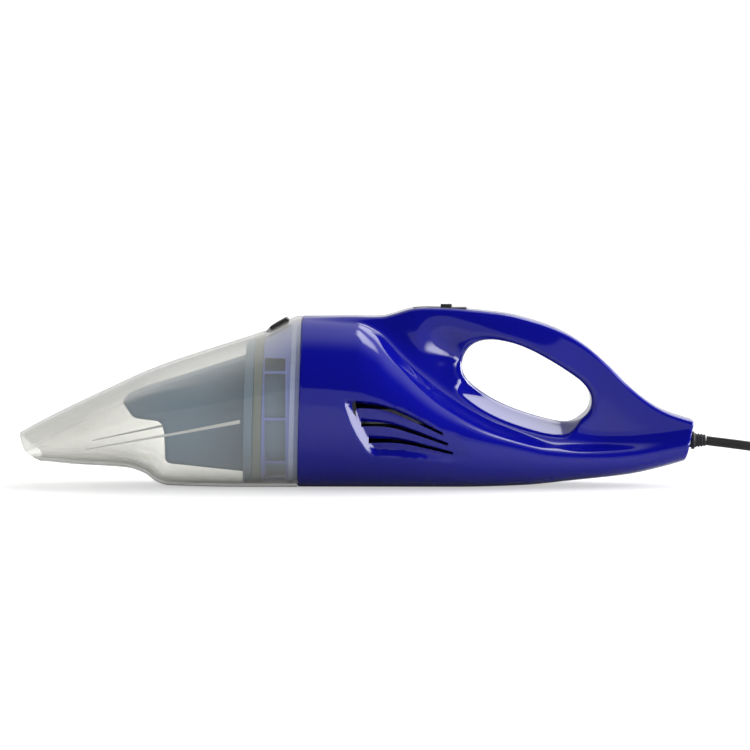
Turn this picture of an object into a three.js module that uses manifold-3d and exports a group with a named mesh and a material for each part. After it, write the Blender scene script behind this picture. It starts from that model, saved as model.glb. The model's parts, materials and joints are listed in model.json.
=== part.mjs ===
// Handheld 12 V car vacuum: clear nozzle bowl, filter, fan and motor inside a two-part body
// with a looped handle, and a flat twin lead that ends in a 12 V plug.
// Millimetres, +Z up, nozzle towards -X, cord towards +X, origin on the ground under the middle.
import * as THREE from 'three';
import { mergeVertices } from 'three/addons/utils/BufferGeometryUtils.js';
import Module from 'manifold-3d';

const wasm = await Module();
wasm.setup();

// ---- driving dimensions ----
const HALF_LENGTH = 200;
const GAP = 0.3;
const FAR = 400;
const BODY_WALL = 2.5;
const BOWL_WALL = 2;
const JOINT_X = -33.2;
const JOINT_LEAN = 0.027;
const LEAN_CENTRE_Z = 50;
const RELIEF_Z = 26.6;
const MOTOR_Z = 42;
const MOTOR_RADIUS = 16.5;
const SHAFT_RADIUS = 1.5;
const IMPELLER_RADIUS = 33;
const BLADES = 9;
const SPINE_THICKNESS = 31;
const SPINE_ROUND = 6.5;
const CORD_WIDTH = 5.6;
const COIL = { x: 316, y: 50, inner: 26.3, outer: 43.6, height: 23.5 };
const PLUG = { y: -39, z: 12.4 };

// ---- hull: height, depth, width and shoulder of the outer surface along the length ----
// Each entry is [x, value]; the stretch between two entries is a monotone cubic.
const hullTop = curve([[-203, 29.6], [-190, 36.9], [-168, 48], [-147, 57.9], [-125, 68], [-104, 75.9],
  [-82, 83.1], [-62, 89.6], [-53, 92.8], [-33.2, 101], [0, 99.5], [12, 95], [25, 83.5], [38, 71],
  [50, 60.5], [65, 50], [80, 41.5], [95, 35.5], [117, 29.5], [140, 27], [162, 27.5], [203, 33]]);
const hullBottom = curve([[-203, 15.5], [-185, 14.8], [-168, 13.1], [-136, 11], [-125, 7.4],
  [-118, 2.4], [-111, 0.3], [-60, -0.8], [60, -0.8], [98, 0.4], [128, 3.2], [162, 6.8],
  [179, 10.3], [195, 14.8], [203, 17.5]]);
const hullHalfWidth = curve([[-203, 26], [-190, 28], [-170, 32], [-150, 36.5], [-130, 41],
  [-110, 44.8], [-80, 48.2], [-33.2, 50.4], [0, 50.5], [30, 49], [60, 45], [90, 39], [120, 32.5],
  [150, 26], [180, 19.5], [203, 15.8]]);
const hullMiddle = curve([[-203, 21], [-190, 22.5], [-170, 26], [-150, 31], [-130, 36], [-110, 41],
  [-80, 46], [-33.2, 50], [0, 47], [30, 40], [60, 31], [90, 25], [120, 19], [150, 18], [203, 25]]);
const shoulderZ = curve([[-203, 20.5], [-196, 23.7], [-189, 27.8], [-174, 35], [-159, 42.6],
  [-140, 51.3], [-110, 63]]);
const shoulderBlend = curve([[-155, 1], [-130, 0.75], [-100, 0.3], [-72, 0]]);
const SHOULDER_Y = 0.86;

// Side outline of the spine and handle, and the finger hole in it, as [x, z].
const SPINE_TOP = [[-28, 98.4], [-8, 100.5], [13.6, 100.7], [21.5, 102.1], [34.3, 105.6], [50, 105.9],
  [65.9, 104.9], [89.7, 102.2], [105.6, 98.2], [117, 94.3], [128.4, 88.6], [139.8, 80.6],
  [151, 70.4], [162.5, 58.9], [173.9, 49.8], [185.3, 43.6], [204, 37.6]];
const SPINE_INSIDE = [[204, 22], [150, 12], [90, 22], [40, 40], [0, 60], [-28, 80]];
const FINGER_HOLE = [[63, 71.5], [71.5, 85], [80, 86.6], [105.6, 78.9], [122.7, 68.5], [136, 59.5],
  [139.2, 51], [134, 40.6], [124, 38.2], [105.6, 43.1], [88.6, 50.4], [70, 59.2]];

// ---- materials ----
const blue = plastic(0x12148c, 0.16);
const paleBlue = plastic(0x8e9cc6, 0.3);
const clear = plastic(0xe2e2da, 0.08, 0.35);
const slate = plastic(0x75828c, 0.45);
const sealGrey = plastic(0x93a39f, 0.7);
const cloth = plastic(0xe6e4dc, 0.95);
const black = plastic(0x141416, 0.45);
const rubber = plastic(0x17171a, 0.8);
const paleRubber = plastic(0xa9b4d6, 0.6);
const red = plastic(0xb01c1c, 0.5);
const darkSteel = metal(0x6f7376, 0.45);
const steel = metal(0xb9bcc0, 0.3);
const magnetGrey = metal(0x3a3c40, 0.7);
const copper = metal(0xb46a3c, 0.4);
const nickel = metal(0xcfcabf, 0.22);
const glass = plastic(0xdfe6e2, 0.05, 0.4);

const vacuum = new THREE.Group();

// ---- body ----
function addBody() {
  const stations = [JOINT_X, -14, 0, 12, 30, 50, 70, 90, 112, 135, 158, 180, 203];
  const innerStations = [-60, JOINT_X, ...stations.slice(1, -1), 193];
  const outside = solid(hullLoft(stations, 0)).add(spine(0)).subtract(tailCut()).subtract(ground());
  const inside = solid(hullLoft(innerStations, BODY_WALL)).add(spine(BODY_WALL))
    .intersect(solid(box([-60, 193], [-60, 60], [0, 120])));
  let shell = outside.subtract(inside);
  for (const [x, z] of SCREWS) {
    const boss = solid(rodY([-60, 60], 5, x, z, 10)).intersect(outside);
    shell = shell.add(boss).subtract(screwHole(x, z));
  }
  for (const side of [-1, 1]) {
    for (const slot of VENT_SLOTS) {
      shell = shell.subtract(ventSlot(slot, side));
    }
  }
  shell = shell
    .subtract(solid(box([34, 66.2], [-7.3, 7.3], [103.9, 112])))
    .subtract(solid(box([37, 63], [-5.3, 5.3], [95, 112])))
    .subtract(solid(rodX([190, 203], 4.5, 0, RELIEF_Z, 16)));
  const half = (low, high) => shell.intersect(solid(box([-FAR, FAR], [low, high], [-FAR, FAR])));
  add('left_shell', half(-FAR, -GAP / 2), blue);
  add('right_shell', half(GAP / 2, FAR), blue);
  SCREWS.forEach(([x, z], i) => add(`shell_screw_${i + 1}`, screw(x, z), darkSteel));
}

// The flat twin halves of the handle and the crest above the motor.
function spine(inset) {
  const outline = new THREE.CatmullRomCurve3(SPINE_TOP.map(([x, z]) => new THREE.Vector3(x, z, 0)));
  const top = outline.getPoints(24).map((p) => [p.x, p.y]);
  const hole = new THREE.CatmullRomCurve3(FINGER_HOLE.map(([x, z]) => new THREE.Vector3(x, z, 0)), true);
  const shape = new THREE.Shape([...top, ...SPINE_INSIDE].map(([x, z]) => new THREE.Vector2(x, z)));
  const rim = hole.getPoints(20).slice(0, -1).reverse();
  shape.holes.push(new THREE.Path(rim.map((p) => new THREE.Vector2(p.x, p.y))));
  return solid(plateY(shape, SPINE_THICKNESS - 2 * inset, SPINE_ROUND - inset, inset));
}

// The tail ends in a slightly slanted face.
function tailCut() {
  const end = [[HALF_LENGTH, 60], [HALF_LENGTH, 36], [195, 14], [194, 0], [230, 0], [230, 60]];
  return solid(prismY(end, [-60, 60]));
}

function ground() {
  return solid(box([-FAR, FAR], [-FAR, FAR], [-20, 0]));
}

// Places of the screws that hold the two halves together, as [x, z]. Their heads face +Y.
const SCREWS = [[12, 86], [24, 10], [84, 23], [108, 88], [153, 46], [178, 31]];
const SCREW = { shank: 1.45, head: 3, tip: -9, seat: 7, top: 9.5 };

function screw(x, z) {
  const profile = [[0, SCREW.tip], [SCREW.shank, SCREW.tip + 2], [SCREW.shank, SCREW.seat],
    [SCREW.head, SCREW.seat], [SCREW.head, SCREW.top - 1], [SCREW.head - 1, SCREW.top], [0, SCREW.top]];
  return latheY(profile, x, z, 10);
}

function screwHole(x, z) {
  const bore = solid(rodY([SCREW.tip - GAP, SCREW.seat], SCREW.shank + GAP, x, z, 8));
  return bore.add(solid(rodY([SCREW.seat - GAP, 60], SCREW.head + GAP, x, z, 8)));
}

// Exhaust slots on each side, from the wide front end along a falling curve to the narrow rear end.
const VENT_SLOTS = [
  { from: [-1, 51.7], mid: [19, 49], to: [51, 34.2], width: 4.6 },
  { from: [3.2, 41], mid: [23, 39], to: [54, 28], width: 4.6 },
  { from: [7.6, 31], mid: [27, 30], to: [57, 22.7], width: 4.4 },
];

function ventSlot({ from, mid, to, width }, side) {
  const line = new THREE.CatmullRomCurve3([from, mid, to].map(([x, z]) => new THREE.Vector3(x, z, 0)));
  const steps = 4;
  const upper = [];
  const lower = [];
  for (let i = 0; i <= steps; i++) {
    const p = line.getPoint(i / steps);
    const half = width / 2 * (1 - 0.7 * i / steps);
    upper.push([p.x, p.y + half]);
    lower.unshift([p.x, p.y - half]);
  }
  return solid(prismY([...upper, ...lower], side > 0 ? [25, 60] : [-60, -25]));
}

// ---- the front of the body, inside the bowl's rear end ----
// Heights of the windows in the skirt, from the lowest row up.
const SKIRT_WINDOWS = [[4.4, 16.1], [17.6, 42.1], [43.6, 69.1], [70.5, 77.7]];

function addFront() {
  const skirtStations = [-54.8, -33.2, -20];
  let skirt = tube(skirtStations, 3.4, 5.4);
  for (const [low, high] of SKIRT_WINDOWS) {
    for (const y of [[-60, -16], [16, 60]]) {
      skirt = skirt.subtract(solid(box([-53.3, -41.1], y, [low, high])));
    }
  }
  skirt = skirt.subtract(solid(box([-56, -37.5], [-9, 9], [80, 110])));
  add('front_skirt', skirt, paleBlue);
  add('bowl_seal', tube([-38.6, -35.8], 2.5, 3.15), paleRubber);
  add('intake_grille', grille(), black);
}

function grille() {
  let plate = solid(hullLoft([-24, -22], 5.8));
  const bars = 9;
  for (let i = 0; i < bars; i++) {
    const z = 18 + i * 7;
    const reach = Math.sqrt(38 * 38 - (z - 46) * (z - 46));
    plate = plate.subtract(solid(box([-30, -16], [-reach, reach], [z - 2.2, z + 2.2])));
  }
  return plate;
}

// ---- clear bowl with the nozzle mouth ----
const MOUTH = [[-230, 60], [-200, 60], [-200, 31], [-195.9, 23.7], [-185.3, 14.9], [-183, 0], [-230, 0]];
const BUTTON = { x: -51.4, z: 92.6, width: 15, pin: 1 };

function addBowl() {
  const stations = [-203, -190, -168, -147, -133, -125, -118, -111, -90, -70, -54, -41, JOINT_X - GAP];
  const innerStations = [-206, ...stations.slice(1), -25];
  let bowl = solid(hullLoft(stations, 0)).subtract(solid(hullLoft(innerStations, BOWL_WALL)));
  bowl = bowl.subtract(solid(prismY(MOUTH, [-60, 60]))).subtract(ground());
  bowl = bowl.subtract(solid(box([-54.2, -38.4], [-BUTTON.width / 2 - 0.5, BUTTON.width / 2 + 0.5], [84, 112])));
  bowl = bowl.subtract(solid(rodY([-10, 10], BUTTON.pin + GAP, BUTTON.x, BUTTON.z, 10)));
  add('dust_bowl', bowl, clear);

  const side = [[-53.4, 91.6], [-50.4, 94.9], [-46, 97.5], [-41.4, 100], [-39.4, 98.6], [-40.4, 95.2],
    [-49, 91.4], [-52.5, 90.8]];
  const button = solid(prismY(side, [-BUTTON.width / 2, BUTTON.width / 2]))
    .subtract(solid(rodY([-10, 10], BUTTON.pin + GAP, BUTTON.x, BUTTON.z, 10)));
  add('bowl_release_button', button, black);
  add('button_pin', rodY([-9.4, 9.4], BUTTON.pin, BUTTON.x, BUTTON.z, 10), steel);
}

// ---- filter ----
const BASKET = [[-138.4, 52.6], [-131.2, 41.8], [-114.6, 39.6], [-113, 33.1], [-112.4, 15.2], [-64, 10],
  [-64, 76.8], [-125.4, 57.4]];
const BASKET_HALF_WIDTH = 27;

// The filter carrier's rear collar, which fills the skirt and shows dark through its windows.
const COLLAR = { section: -62, ends: [-61.5, -40.5], outerInset: 6.9, innerInset: 8.6 };

function addFilter() {
  const outside = solid(plateY(shapeOf(BASKET), 2 * BASKET_HALF_WIDTH, 3, 0));
  const inside = solid(plateY(shapeOf(BASKET), 2 * BASKET_HALF_WIDTH - 4, 2, 2));
  const way = solid(box([-70, -55], [-BASKET_HALF_WIDTH + 3, BASKET_HALF_WIDTH - 3], [14, 70]));
  const rim = solid(hullLoft([-65.4, -60.2], 2.7));
  const collar = straightTube(COLLAR.section, COLLAR.ends, COLLAR.outerInset, COLLAR.innerInset);
  let frame = outside.add(rim).subtract(inside).subtract(way).add(collar);
  for (const z of [24, 54]) {
    for (const y of [-18, -6, 6, 18]) {
      frame = frame.subtract(solid(box([-120, -108], [y - 4, y + 4], [z - 8, z - 2])));
    }
  }
  add('filter_frame', frame, slate);
  add('filter_seal', tube([-59.8, -55.1], 2.7, 6.5), sealGrey);
  add('filter_cloth', pleats(), cloth);
}

// Pleated cloth: one zigzag sheet standing across the air's way inside the basket.
function pleats() {
  const folds = 8;
  const pitch = 40 / folds;
  const front = [];
  const back = [];
  for (let i = 0; i <= folds; i++) {
    const y = -20 + i * pitch;
    const x = i % 2 ? -104 : -90;
    front.push([x, y]);
    back.unshift([x + 3.4, y]);
  }
  const shape = shapeOf([...front, ...back]);
  const depth = 38;
  return new THREE.ExtrudeGeometry(shape, { depth, bevelEnabled: false }).translate(0, 0, 18);
}

// ---- fan ----
function addFan() {
  add('fan_shroud', latheX([[14, -18.3], [36, -18.3], [36, -2.3], [34.4, -2.3], [34.4, -16.7],
    [14, -16.7], [14, -18.3]], 0, MOTOR_Z, 28), black);
  let wheel = solid(latheX([[1.8, -12], [6, -11], [7, -5.2], [IMPELLER_RADIUS, -5.2],
    [IMPELLER_RADIUS, -3.7], [1.8, -3.7], [1.8, -12]], 0, 0, 28));
  for (let i = 0; i < BLADES; i++) {
    const blade = box([-13.5, -4.5], [-0.7, 0.7], [6, 30.5]).rotateX(0.35);
    blade.translate(0, 4, 0).rotateX(i * 2 * Math.PI / BLADES);
    wheel = wheel.add(solid(blade));
  }
  add('impeller', wheel.translate([0, 0, MOTOR_Z]), black);
  let bulkhead = solid(hullLoft([-1.9, 0.1], BODY_WALL + 0.7));
  bulkhead = bulkhead.subtract(solid(rodX([-9, 9], 4, 0, MOTOR_Z, 16)));
  for (let i = 0; i < 8; i++) {
    const angle = (i + 0.5) * Math.PI / 4;
    const y = 27 * Math.cos(angle);
    const z = MOTOR_Z + 27 * Math.sin(angle);
    bulkhead = bulkhead.subtract(solid(rodX([-9, 9], 6, y, z, 10)));
  }
  add('motor_bulkhead', bulkhead, black);
}

// ---- motor ----
function addMotor() {
  const can = { front: 0.5, rear: 47.7, wall: 1.2 };
  const inner = MOTOR_RADIUS - can.wall;
  add('motor_can', latheX([[1.9, can.front], [MOTOR_RADIUS - 1, can.front], [MOTOR_RADIUS, can.front + 1],
    [MOTOR_RADIUS, can.rear], [inner, can.rear], [inner, can.front + can.wall], [1.9, can.front + can.wall],
    [1.9, can.front]], 0, MOTOR_Z, 24), steel);
  add('motor_end_cap', latheX([[1.9, 48], [MOTOR_RADIUS - 0.5, 48], [MOTOR_RADIUS - 0.5, 51], [6, 52],
    [6, 53], [1.9, 53], [1.9, 48]], 0, MOTOR_Z, 24), black);
  add('motor_shaft', rodX([-13, 52.5], SHAFT_RADIUS, 0, MOTOR_Z, 12), steel);
  add('motor_armature', latheX([[1.8, 7], [11, 9], [11, 34], [5, 36], [5, 44], [1.8, 44], [1.8, 7]],
    0, MOTOR_Z, 20), copper);
  for (const side of [-1, 1]) {
    const name = side < 0 ? 'motor_magnet_left' : 'motor_magnet_right';
    const arc = solid(latheX([[12, 8], [15, 8], [15, 38], [12, 38], [12, 8]], 0, MOTOR_Z, 24))
      .intersect(solid(box([0, 50], side < 0 ? [-20, -6] : [6, 20], [20, 64])));
    add(name, arc, magnetGrey);
    const y = side * 10;
    const terminal = side < 0 ? 'brush_terminal_left' : 'brush_terminal_right';
    add(terminal, box([52.4, 58], [y - 2, y + 2], [MOTOR_Z - 0.4, MOTOR_Z + 0.4]), nickel);
  }
  add('suppression_capacitor', latheY([[0, -3], [3.6, -2.4], [3.6, 2.4], [0, 3]], 57.4, 36.6, 14), copper);
  add('motor_ring', latheX([[MOTOR_RADIUS + GAP, 40], [20, 40], [20, 45], [MOTOR_RADIUS + GAP, 45],
    [MOTOR_RADIUS + GAP, 40]], 0, MOTOR_Z, 24), rubber);
}

// ---- switch in the crest of the handle ----
const SWITCH = { rear: 57.2, travel: 7 };

function addSwitch() {
  const plate = solid(box([34.3, 65.9], [-7, 7], [104.2, 105.9]))
    .subtract(solid(box([SWITCH.rear - 7 - SWITCH.travel - 0.4, SWITCH.rear + 0.4], [-3.3, 3.3], [100, 110])));
  add('switch_plate', plate, black);
  const knob = solid(box([SWITCH.rear - 7, SWITCH.rear], [-3, 3], [102.6, 108]))
    .add(solid(box([SWITCH.rear - 9, SWITCH.rear + 2], [-4.6, 4.6], [102.2, 103.8])));
  const grooves = [1.4, 3, 4.6];
  const ribbed = grooves.reduce((piece, back) => piece.subtract(
    solid(box([SWITCH.rear - back - 1, SWITCH.rear - back], [-5, 5], [107.3, 109]))), knob);
  add('switch_slider', ribbed, black);
  add('switch_body', box([39, 61.5], [-6, 6], [90.5, 101.8]), black);
}

// ---- wires inside the body ----
function addWiring() {
  add('wire_switch', wire([[46, -3, 90], [50, -3, 80], [56, -4, 66], [60.3, -6, 54], [60, -9, 44]], 0.9), red);
  add('wire_red', wire([[52, 3, 90], [56, 3, 78], [58.6, 4, 62], [63, 5, 40], [74, 5, 16],
    [100, 4, 10], [140, 3, 14], [168, 3, 20], [184, 2.5, 24], [190.5, 2, 26]], 0.9), red);
  add('wire_black', wire([[60, 10, 40], [66, 10, 26], [78, 9, 13], [100, 7.5, 8.5], [140, 6, 11.5],
    [168, 6, 16.5], [184, 5.5, 22]], 0.9), black);
  add('cord_clamp', box([184, 190], [-7, 7], [28.6, 31.6]), black);
}

// ---- strain relief and the free cord ----
function addCord() {
  add('strain_relief', latheX([[0, 190.8], [5.6, 190.8], [5.6, 192.7], [4.2, 192.7], [4.2, 199.6],
    [5.3, 199.8], [5.3, 201.2], [4.3, 202.2], [3.3, 208], [0, 208]], 0, RELIEF_Z, 18), rubber);
  const radius = CORD_WIDTH / 2;
  add('power_cord', wire(LEAD_ROUTE, radius, 8), rubber);
  const { inner, outer, height } = COIL;
  const ring = new THREE.LatheGeometry([[inner + 2, 0], [outer - 2, 0], [outer, 2], [outer, height - 2],
    [outer - 2, height], [inner + 2, height], [inner, height - 2], [inner, 2], [inner + 2, 0]]
    .map(([r, z]) => new THREE.Vector2(r, z)), 32);
  add('cord_coil', ring.rotateX(Math.PI / 2).translate(COIL.x, COIL.y, 0), rubber);
  add('cord_tail', wire(TAIL_ROUTE, radius, 8), rubber);
}

// The cord's route where it isn't coiled: from the strain relief down to the coil, and from the
// coil to the plug.
const LEAD_ROUTE = [[208.4, 0, 26.4], [213, 0, 25.8], [222, 0, 24.7], [234, 0, 23.1], [245.6, 1.4, 21.4],
  [256.4, 5, 20.2], [265.6, 11.6, 19.8], [271.6, 19.8, 20], [273.8, 29.6, 20.3]];
const TAIL_ROUTE = [[358, 29.6, 3], [358, 15, 3], [358, 0, 3], [356.4, -12, 4], [351, -23.6, 6],
  [342, -32.6, 8.6], [332, -38.2, 11.4], [325.8, -39, 12.3]];

// ---- 12 V plug, lying on the ground with its tip towards -X ----
function addPlug() {
  const { y, z } = PLUG;
  const shell = solid(latheX([[3.6, 262.9], [9.4, 262.9], [10.4, 272], [10.4, 284], [12.2, 290],
    [12.2, 297], [9, 305], [5, 305], [5, 301], [8, 297], [8, 266.5], [3.6, 266.5], [3.6, 262.9]], 0, 0, 20));
  const windows = solid(box([270, 283], [-20, 20], [-2.4, 2.4]));
  const half = (low, high) => shell.subtract(windows)
    .intersect(solid(box([0, FAR], [-20, 20], [low, high]))).translate([0, y, z]);
  add('plug_upper_half', half(GAP / 2, 20), black);
  add('plug_lower_half', half(-20, -GAP / 2), black);
  add('plug_nose_cap', latheX([[3.3, 256], [6.4, 256], [8.6, 258.5], [9.2, 262.5], [3.3, 262.5], [3.3, 256]],
    y, z, 20), red);
  add('plug_tip_pin', latheX([[0, 248.6], [1.8, 249.2], [2.8, 251.4], [2.8, 266.9], [5, 266.9], [5, 268.2],
    [0, 268.2]], y, z, 16), nickel);
  add('plug_spring', latheX([[2.2, 272.4], [3.6, 272.4], [3.6, 278.4], [2.2, 278.4], [2.2, 272.4]],
    y, z, 14), steel);
  add('plug_fuse', latheX([[0, 279], [3.1, 279], [3.1, 299], [0, 299]], y, z, 14), glass);
  for (const side of [-1, 1]) {
    const bow = [[270.6, 7], [272.6, 9.6], [276.5, 12], [280.4, 9.6], [282.4, 7], [280.4, 8.2], [276.5, 10.6],
      [272.6, 8.2]];
    const shape = shapeOf(bow.map(([x, r]) => [x, side * r]));
    const contact = new THREE.ExtrudeGeometry(shape, { depth: 4, bevelEnabled: false }).translate(0, y, z - 2);
    add(side < 0 ? 'plug_contact_near' : 'plug_contact_far', contact, nickel);
  }
  add('plug_sleeve', latheX([[0, 302], [4.6, 302], [4.6, 305.3], [6.8, 305.3], [6.2, 309], [3.9, 325],
    [0, 325]], y, z, 16), rubber);
}

// ---- shape helpers ----
function curve(table) {
  const n = table.length;
  const slopes = table.slice(1).map(([x, v], i) => (v - table[i][1]) / (x - table[i][0]));
  const tangents = table.map((_, i) => {
    if (i === 0 || i === n - 1) {
      return slopes[Math.min(i, n - 2)];
    }
    const [before, after] = [slopes[i - 1], slopes[i]];
    return before * after <= 0 ? 0 : 2 * before * after / (before + after);
  });
  return (x) => {
    const clamped = Math.min(Math.max(x, table[0][0]), table[n - 1][0]);
    const i = Math.max(0, table.findIndex(([end]) => clamped <= end) - 1);
    const [x0, v0] = table[i];
    const [x1, v1] = table[i + 1];
    const h = x1 - x0;
    const t = (clamped - x0) / h;
    const rest = 1 - t;
    return v0 * (1 + 2 * t) * rest * rest + h * tangents[i] * t * rest * rest
      + v1 * t * t * (3 - 2 * t) + h * tangents[i + 1] * t * t * (t - 1);
  };
}

// One closed cross-section of the hull at x, drawn in by inset, as points with y and z.
function hullSection(x, inset) {
  const top = hullTop(x) - inset;
  const bottom = hullBottom(x) + inset;
  const half = hullHalfWidth(x) - inset;
  const middle = hullMiddle(x);
  const corner = [half * SHOULDER_Y, shoulderZ(x) - inset];
  const blend = shoulderBlend(x);
  const right = [];
  const upperSteps = 6;
  for (let i = 0; i <= upperSteps; i++) {
    const t = i / upperSteps;
    const angle = t * Math.PI / 2;
    const round = [half * Math.sin(angle), middle + (top - middle) * Math.cos(angle)];
    const facet = shoulderPoint(t, top, middle, half, corner);
    right.push([round[0] + blend * (facet[0] - round[0]), round[1] + blend * (facet[1] - round[1])]);
  }
  const lowerSteps = 4;
  const square = 0.8;
  for (let i = 1; i <= lowerSteps; i++) {
    const angle = i / lowerSteps * Math.PI / 2;
    const y = i === lowerSteps ? 0 : half * Math.cos(angle) ** square;
    right.push([y, middle - (middle - bottom) * Math.sin(angle) ** square]);
  }
  const left = right.slice(1, -1).reverse().map(([y, z]) => [-y, z]);
  return [...right, ...left];
}

// The faceted upper section of the nozzle: a crowned top down to the corner, then the side.
function shoulderPoint(t, top, middle, half, [cornerY, cornerZ]) {
  const share = 2 / 3;
  if (t < share) {
    const s = t / share;
    return [cornerY * s, top - (top - cornerZ) * s ** 1.6];
  }
  const s = (t - share) / (1 - share);
  return [cornerY + (half - cornerY) * Math.sin(s * Math.PI / 2), cornerZ - (cornerZ - middle) * s];
}

// The joint between bowl and body leans a little; the lean fades out on both sides of it.
function leanAt(x) {
  const share = x > JOINT_X ? -x / -JOINT_X : (x + 120) / 54;
  return JOINT_LEAN * Math.min(1, Math.max(0, share));
}

function hullLoft(stations, inset) {
  const rings = stations.map((x) => hullSection(x, inset).map(([y, z]) => [
    x + leanAt(x) * (z - LEAN_CENTRE_Z), y, z]));
  return loft(rings);
}

function loft(rings) {
  const count = rings[0].length;
  const positions = rings.flat(2);
  const index = [];
  for (let r = 0; r < rings.length - 1; r++) {
    for (let i = 0; i < count; i++) {
      const next = (i + 1) % count;
      const [a, b, c, d] = [r * count + i, r * count + next, (r + 1) * count + next, (r + 1) * count + i];
      index.push(a, c, b, a, d, c);
    }
  }
  for (const [ring, reverse] of [[0, true], [rings.length - 1, false]]) {
    const centre = positions.length / 3;
    for (let k = 0; k < 3; k++) {
      positions.push(rings[ring].reduce((sum, p) => sum + p[k], 0) / count);
    }
    for (let i = 0; i < count; i++) {
      const [a, b] = [ring * count + i, ring * count + (i + 1) % count];
      index.push(centre, ...(reverse ? [a, b] : [b, a]));
    }
  }
  const geometry = new THREE.BufferGeometry();
  geometry.setAttribute('position', new THREE.Float32BufferAttribute(positions, 3));
  return geometry.setIndex(index);
}

function tube(stations, outerInset, innerInset) {
  const longer = [stations[0] - 3, ...stations, stations[stations.length - 1] + 3];
  return solid(hullLoft(stations, outerInset)).subtract(solid(hullLoft(longer, innerInset)))
    .subtract(ground());
}

// A straight tube in the hull's section at one place, so it can slide out forwards.
function straightTube(at, [low, high], outerInset, innerInset) {
  const run = (ends, inset) => solid(loft(ends.map((x) => hullSection(at, inset).map(([y, z]) => [x, y, z]))));
  return run([low, high], outerInset).subtract(run([low - 3, high + 3], innerInset));
}

function box([x0, x1], [y0, y1], [z0, z1]) {
  const geometry = new THREE.BoxGeometry(x1 - x0, y1 - y0, z1 - z0);
  return geometry.translate((x0 + x1) / 2, (y0 + y1) / 2, (z0 + z1) / 2);
}

function latheX(profile, y, z, segments) {
  const points = profile.map(([r, x]) => new THREE.Vector2(r, x));
  return new THREE.LatheGeometry(points, segments).rotateZ(-Math.PI / 2).translate(0, y, z);
}

function latheY(profile, x, z, segments) {
  const points = profile.map(([r, y]) => new THREE.Vector2(r, y));
  return new THREE.LatheGeometry(points, segments).translate(x, 0, z);
}

function rodX([x0, x1], radius, y, z, segments) {
  return latheX([[0, x0], [radius, x0], [radius, x1], [0, x1]], y, z, segments);
}

function rodY([y0, y1], radius, x, z, segments) {
  return latheY([[0, y0], [radius, y0], [radius, y1], [0, y1]], x, z, segments);
}

function shapeOf(points) {
  return new THREE.Shape(points.map(([a, b]) => new THREE.Vector2(a, b)));
}

// A side outline in x and z made into a plate that is centred on y = 0 and has rounded edges.
function plateY(shape, thickness, round, inset) {
  const depth = thickness - 2 * round;
  const geometry = new THREE.ExtrudeGeometry(shape, {
    depth, bevelThickness: round, bevelSize: round, bevelOffset: -round - inset, bevelSegments: 2,
  });
  return geometry.translate(0, 0, -depth / 2).rotateX(Math.PI / 2);
}

function prismY(points, [y0, y1]) {
  const geometry = new THREE.ExtrudeGeometry(shapeOf(points), { depth: y1 - y0, bevelEnabled: false });
  return geometry.rotateX(Math.PI / 2).translate(0, y1, 0);
}

function wire(route, radius, sides = 6) {
  const path = new THREE.CatmullRomCurve3(route.map((p) => new THREE.Vector3(...p)));
  const corners = [];
  for (let i = 0; i < sides; i++) {
    const angle = 2 * Math.PI * i / sides;
    corners.push([radius * Math.cos(angle), radius * Math.sin(angle)]);
  }
  const steps = Math.max(8, Math.round(path.getLength() / (radius * 5)));
  const options = { steps: Math.min(steps, 26), extrudePath: path, bevelEnabled: false };
  return new THREE.ExtrudeGeometry(shapeOf(corners), options);
}

// A closed geometry made into a solid that can be joined and cut.
function solid(geometry) {
  const bare = geometry.clone();
  bare.deleteAttribute('normal');
  bare.deleteAttribute('uv');
  const merged = mergeVertices(bare, 1e-4);
  const corners = merged.index.array;
  const triangles = [];
  for (let i = 0; i < corners.length; i += 3) {
    const [a, b, c] = [corners[i], corners[i + 1], corners[i + 2]];
    if (a !== b && b !== c && a !== c) {
      triangles.push(a, b, c);
    }
  }
  const mesh = new wasm.Mesh({
    numProp: 3,
    vertProperties: new Float32Array(merged.attributes.position.array),
    triVerts: new Uint32Array(triangles),
  });
  return new wasm.Manifold(mesh);
}

function add(name, piece, material) {
  const geometry = piece.isBufferGeometry ? piece : surface(piece);
  const mesh = new THREE.Mesh(geometry, material);
  mesh.name = name;
  vacuum.add(mesh);
}

function surface(piece) {
  const mesh = piece.getMesh();
  const geometry = new THREE.BufferGeometry();
  geometry.setAttribute('position', new THREE.Float32BufferAttribute(mesh.vertProperties, 3));
  geometry.setIndex(new THREE.Uint32BufferAttribute(mesh.triVerts, 1));
  return geometry;
}

function plastic(color, roughness, opacity = 1) {
  return new THREE.MeshStandardMaterial({ color, roughness, opacity, transparent: opacity < 1 });
}

function metal(color, roughness) {
  return new THREE.MeshStandardMaterial({ color, roughness, metalness: 1 });
}

addBody();
addFront();
addBowl();
addFilter();
addFan();
addMotor();
addSwitch();
addWiring();
addCord();
addPlug();

export default vacuum;
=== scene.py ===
# Looks for the handheld car vacuum: glossy blue body, clear bowl, slate filter, black trim and cord.
# Lengths in the named tables and shape functions are millimetres in the frame's axes; metres() makes
# them into Blender's metres.
import json
import math

import bmesh
import bpy
import numpy as np
from mathutils import Matrix, Vector


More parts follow.
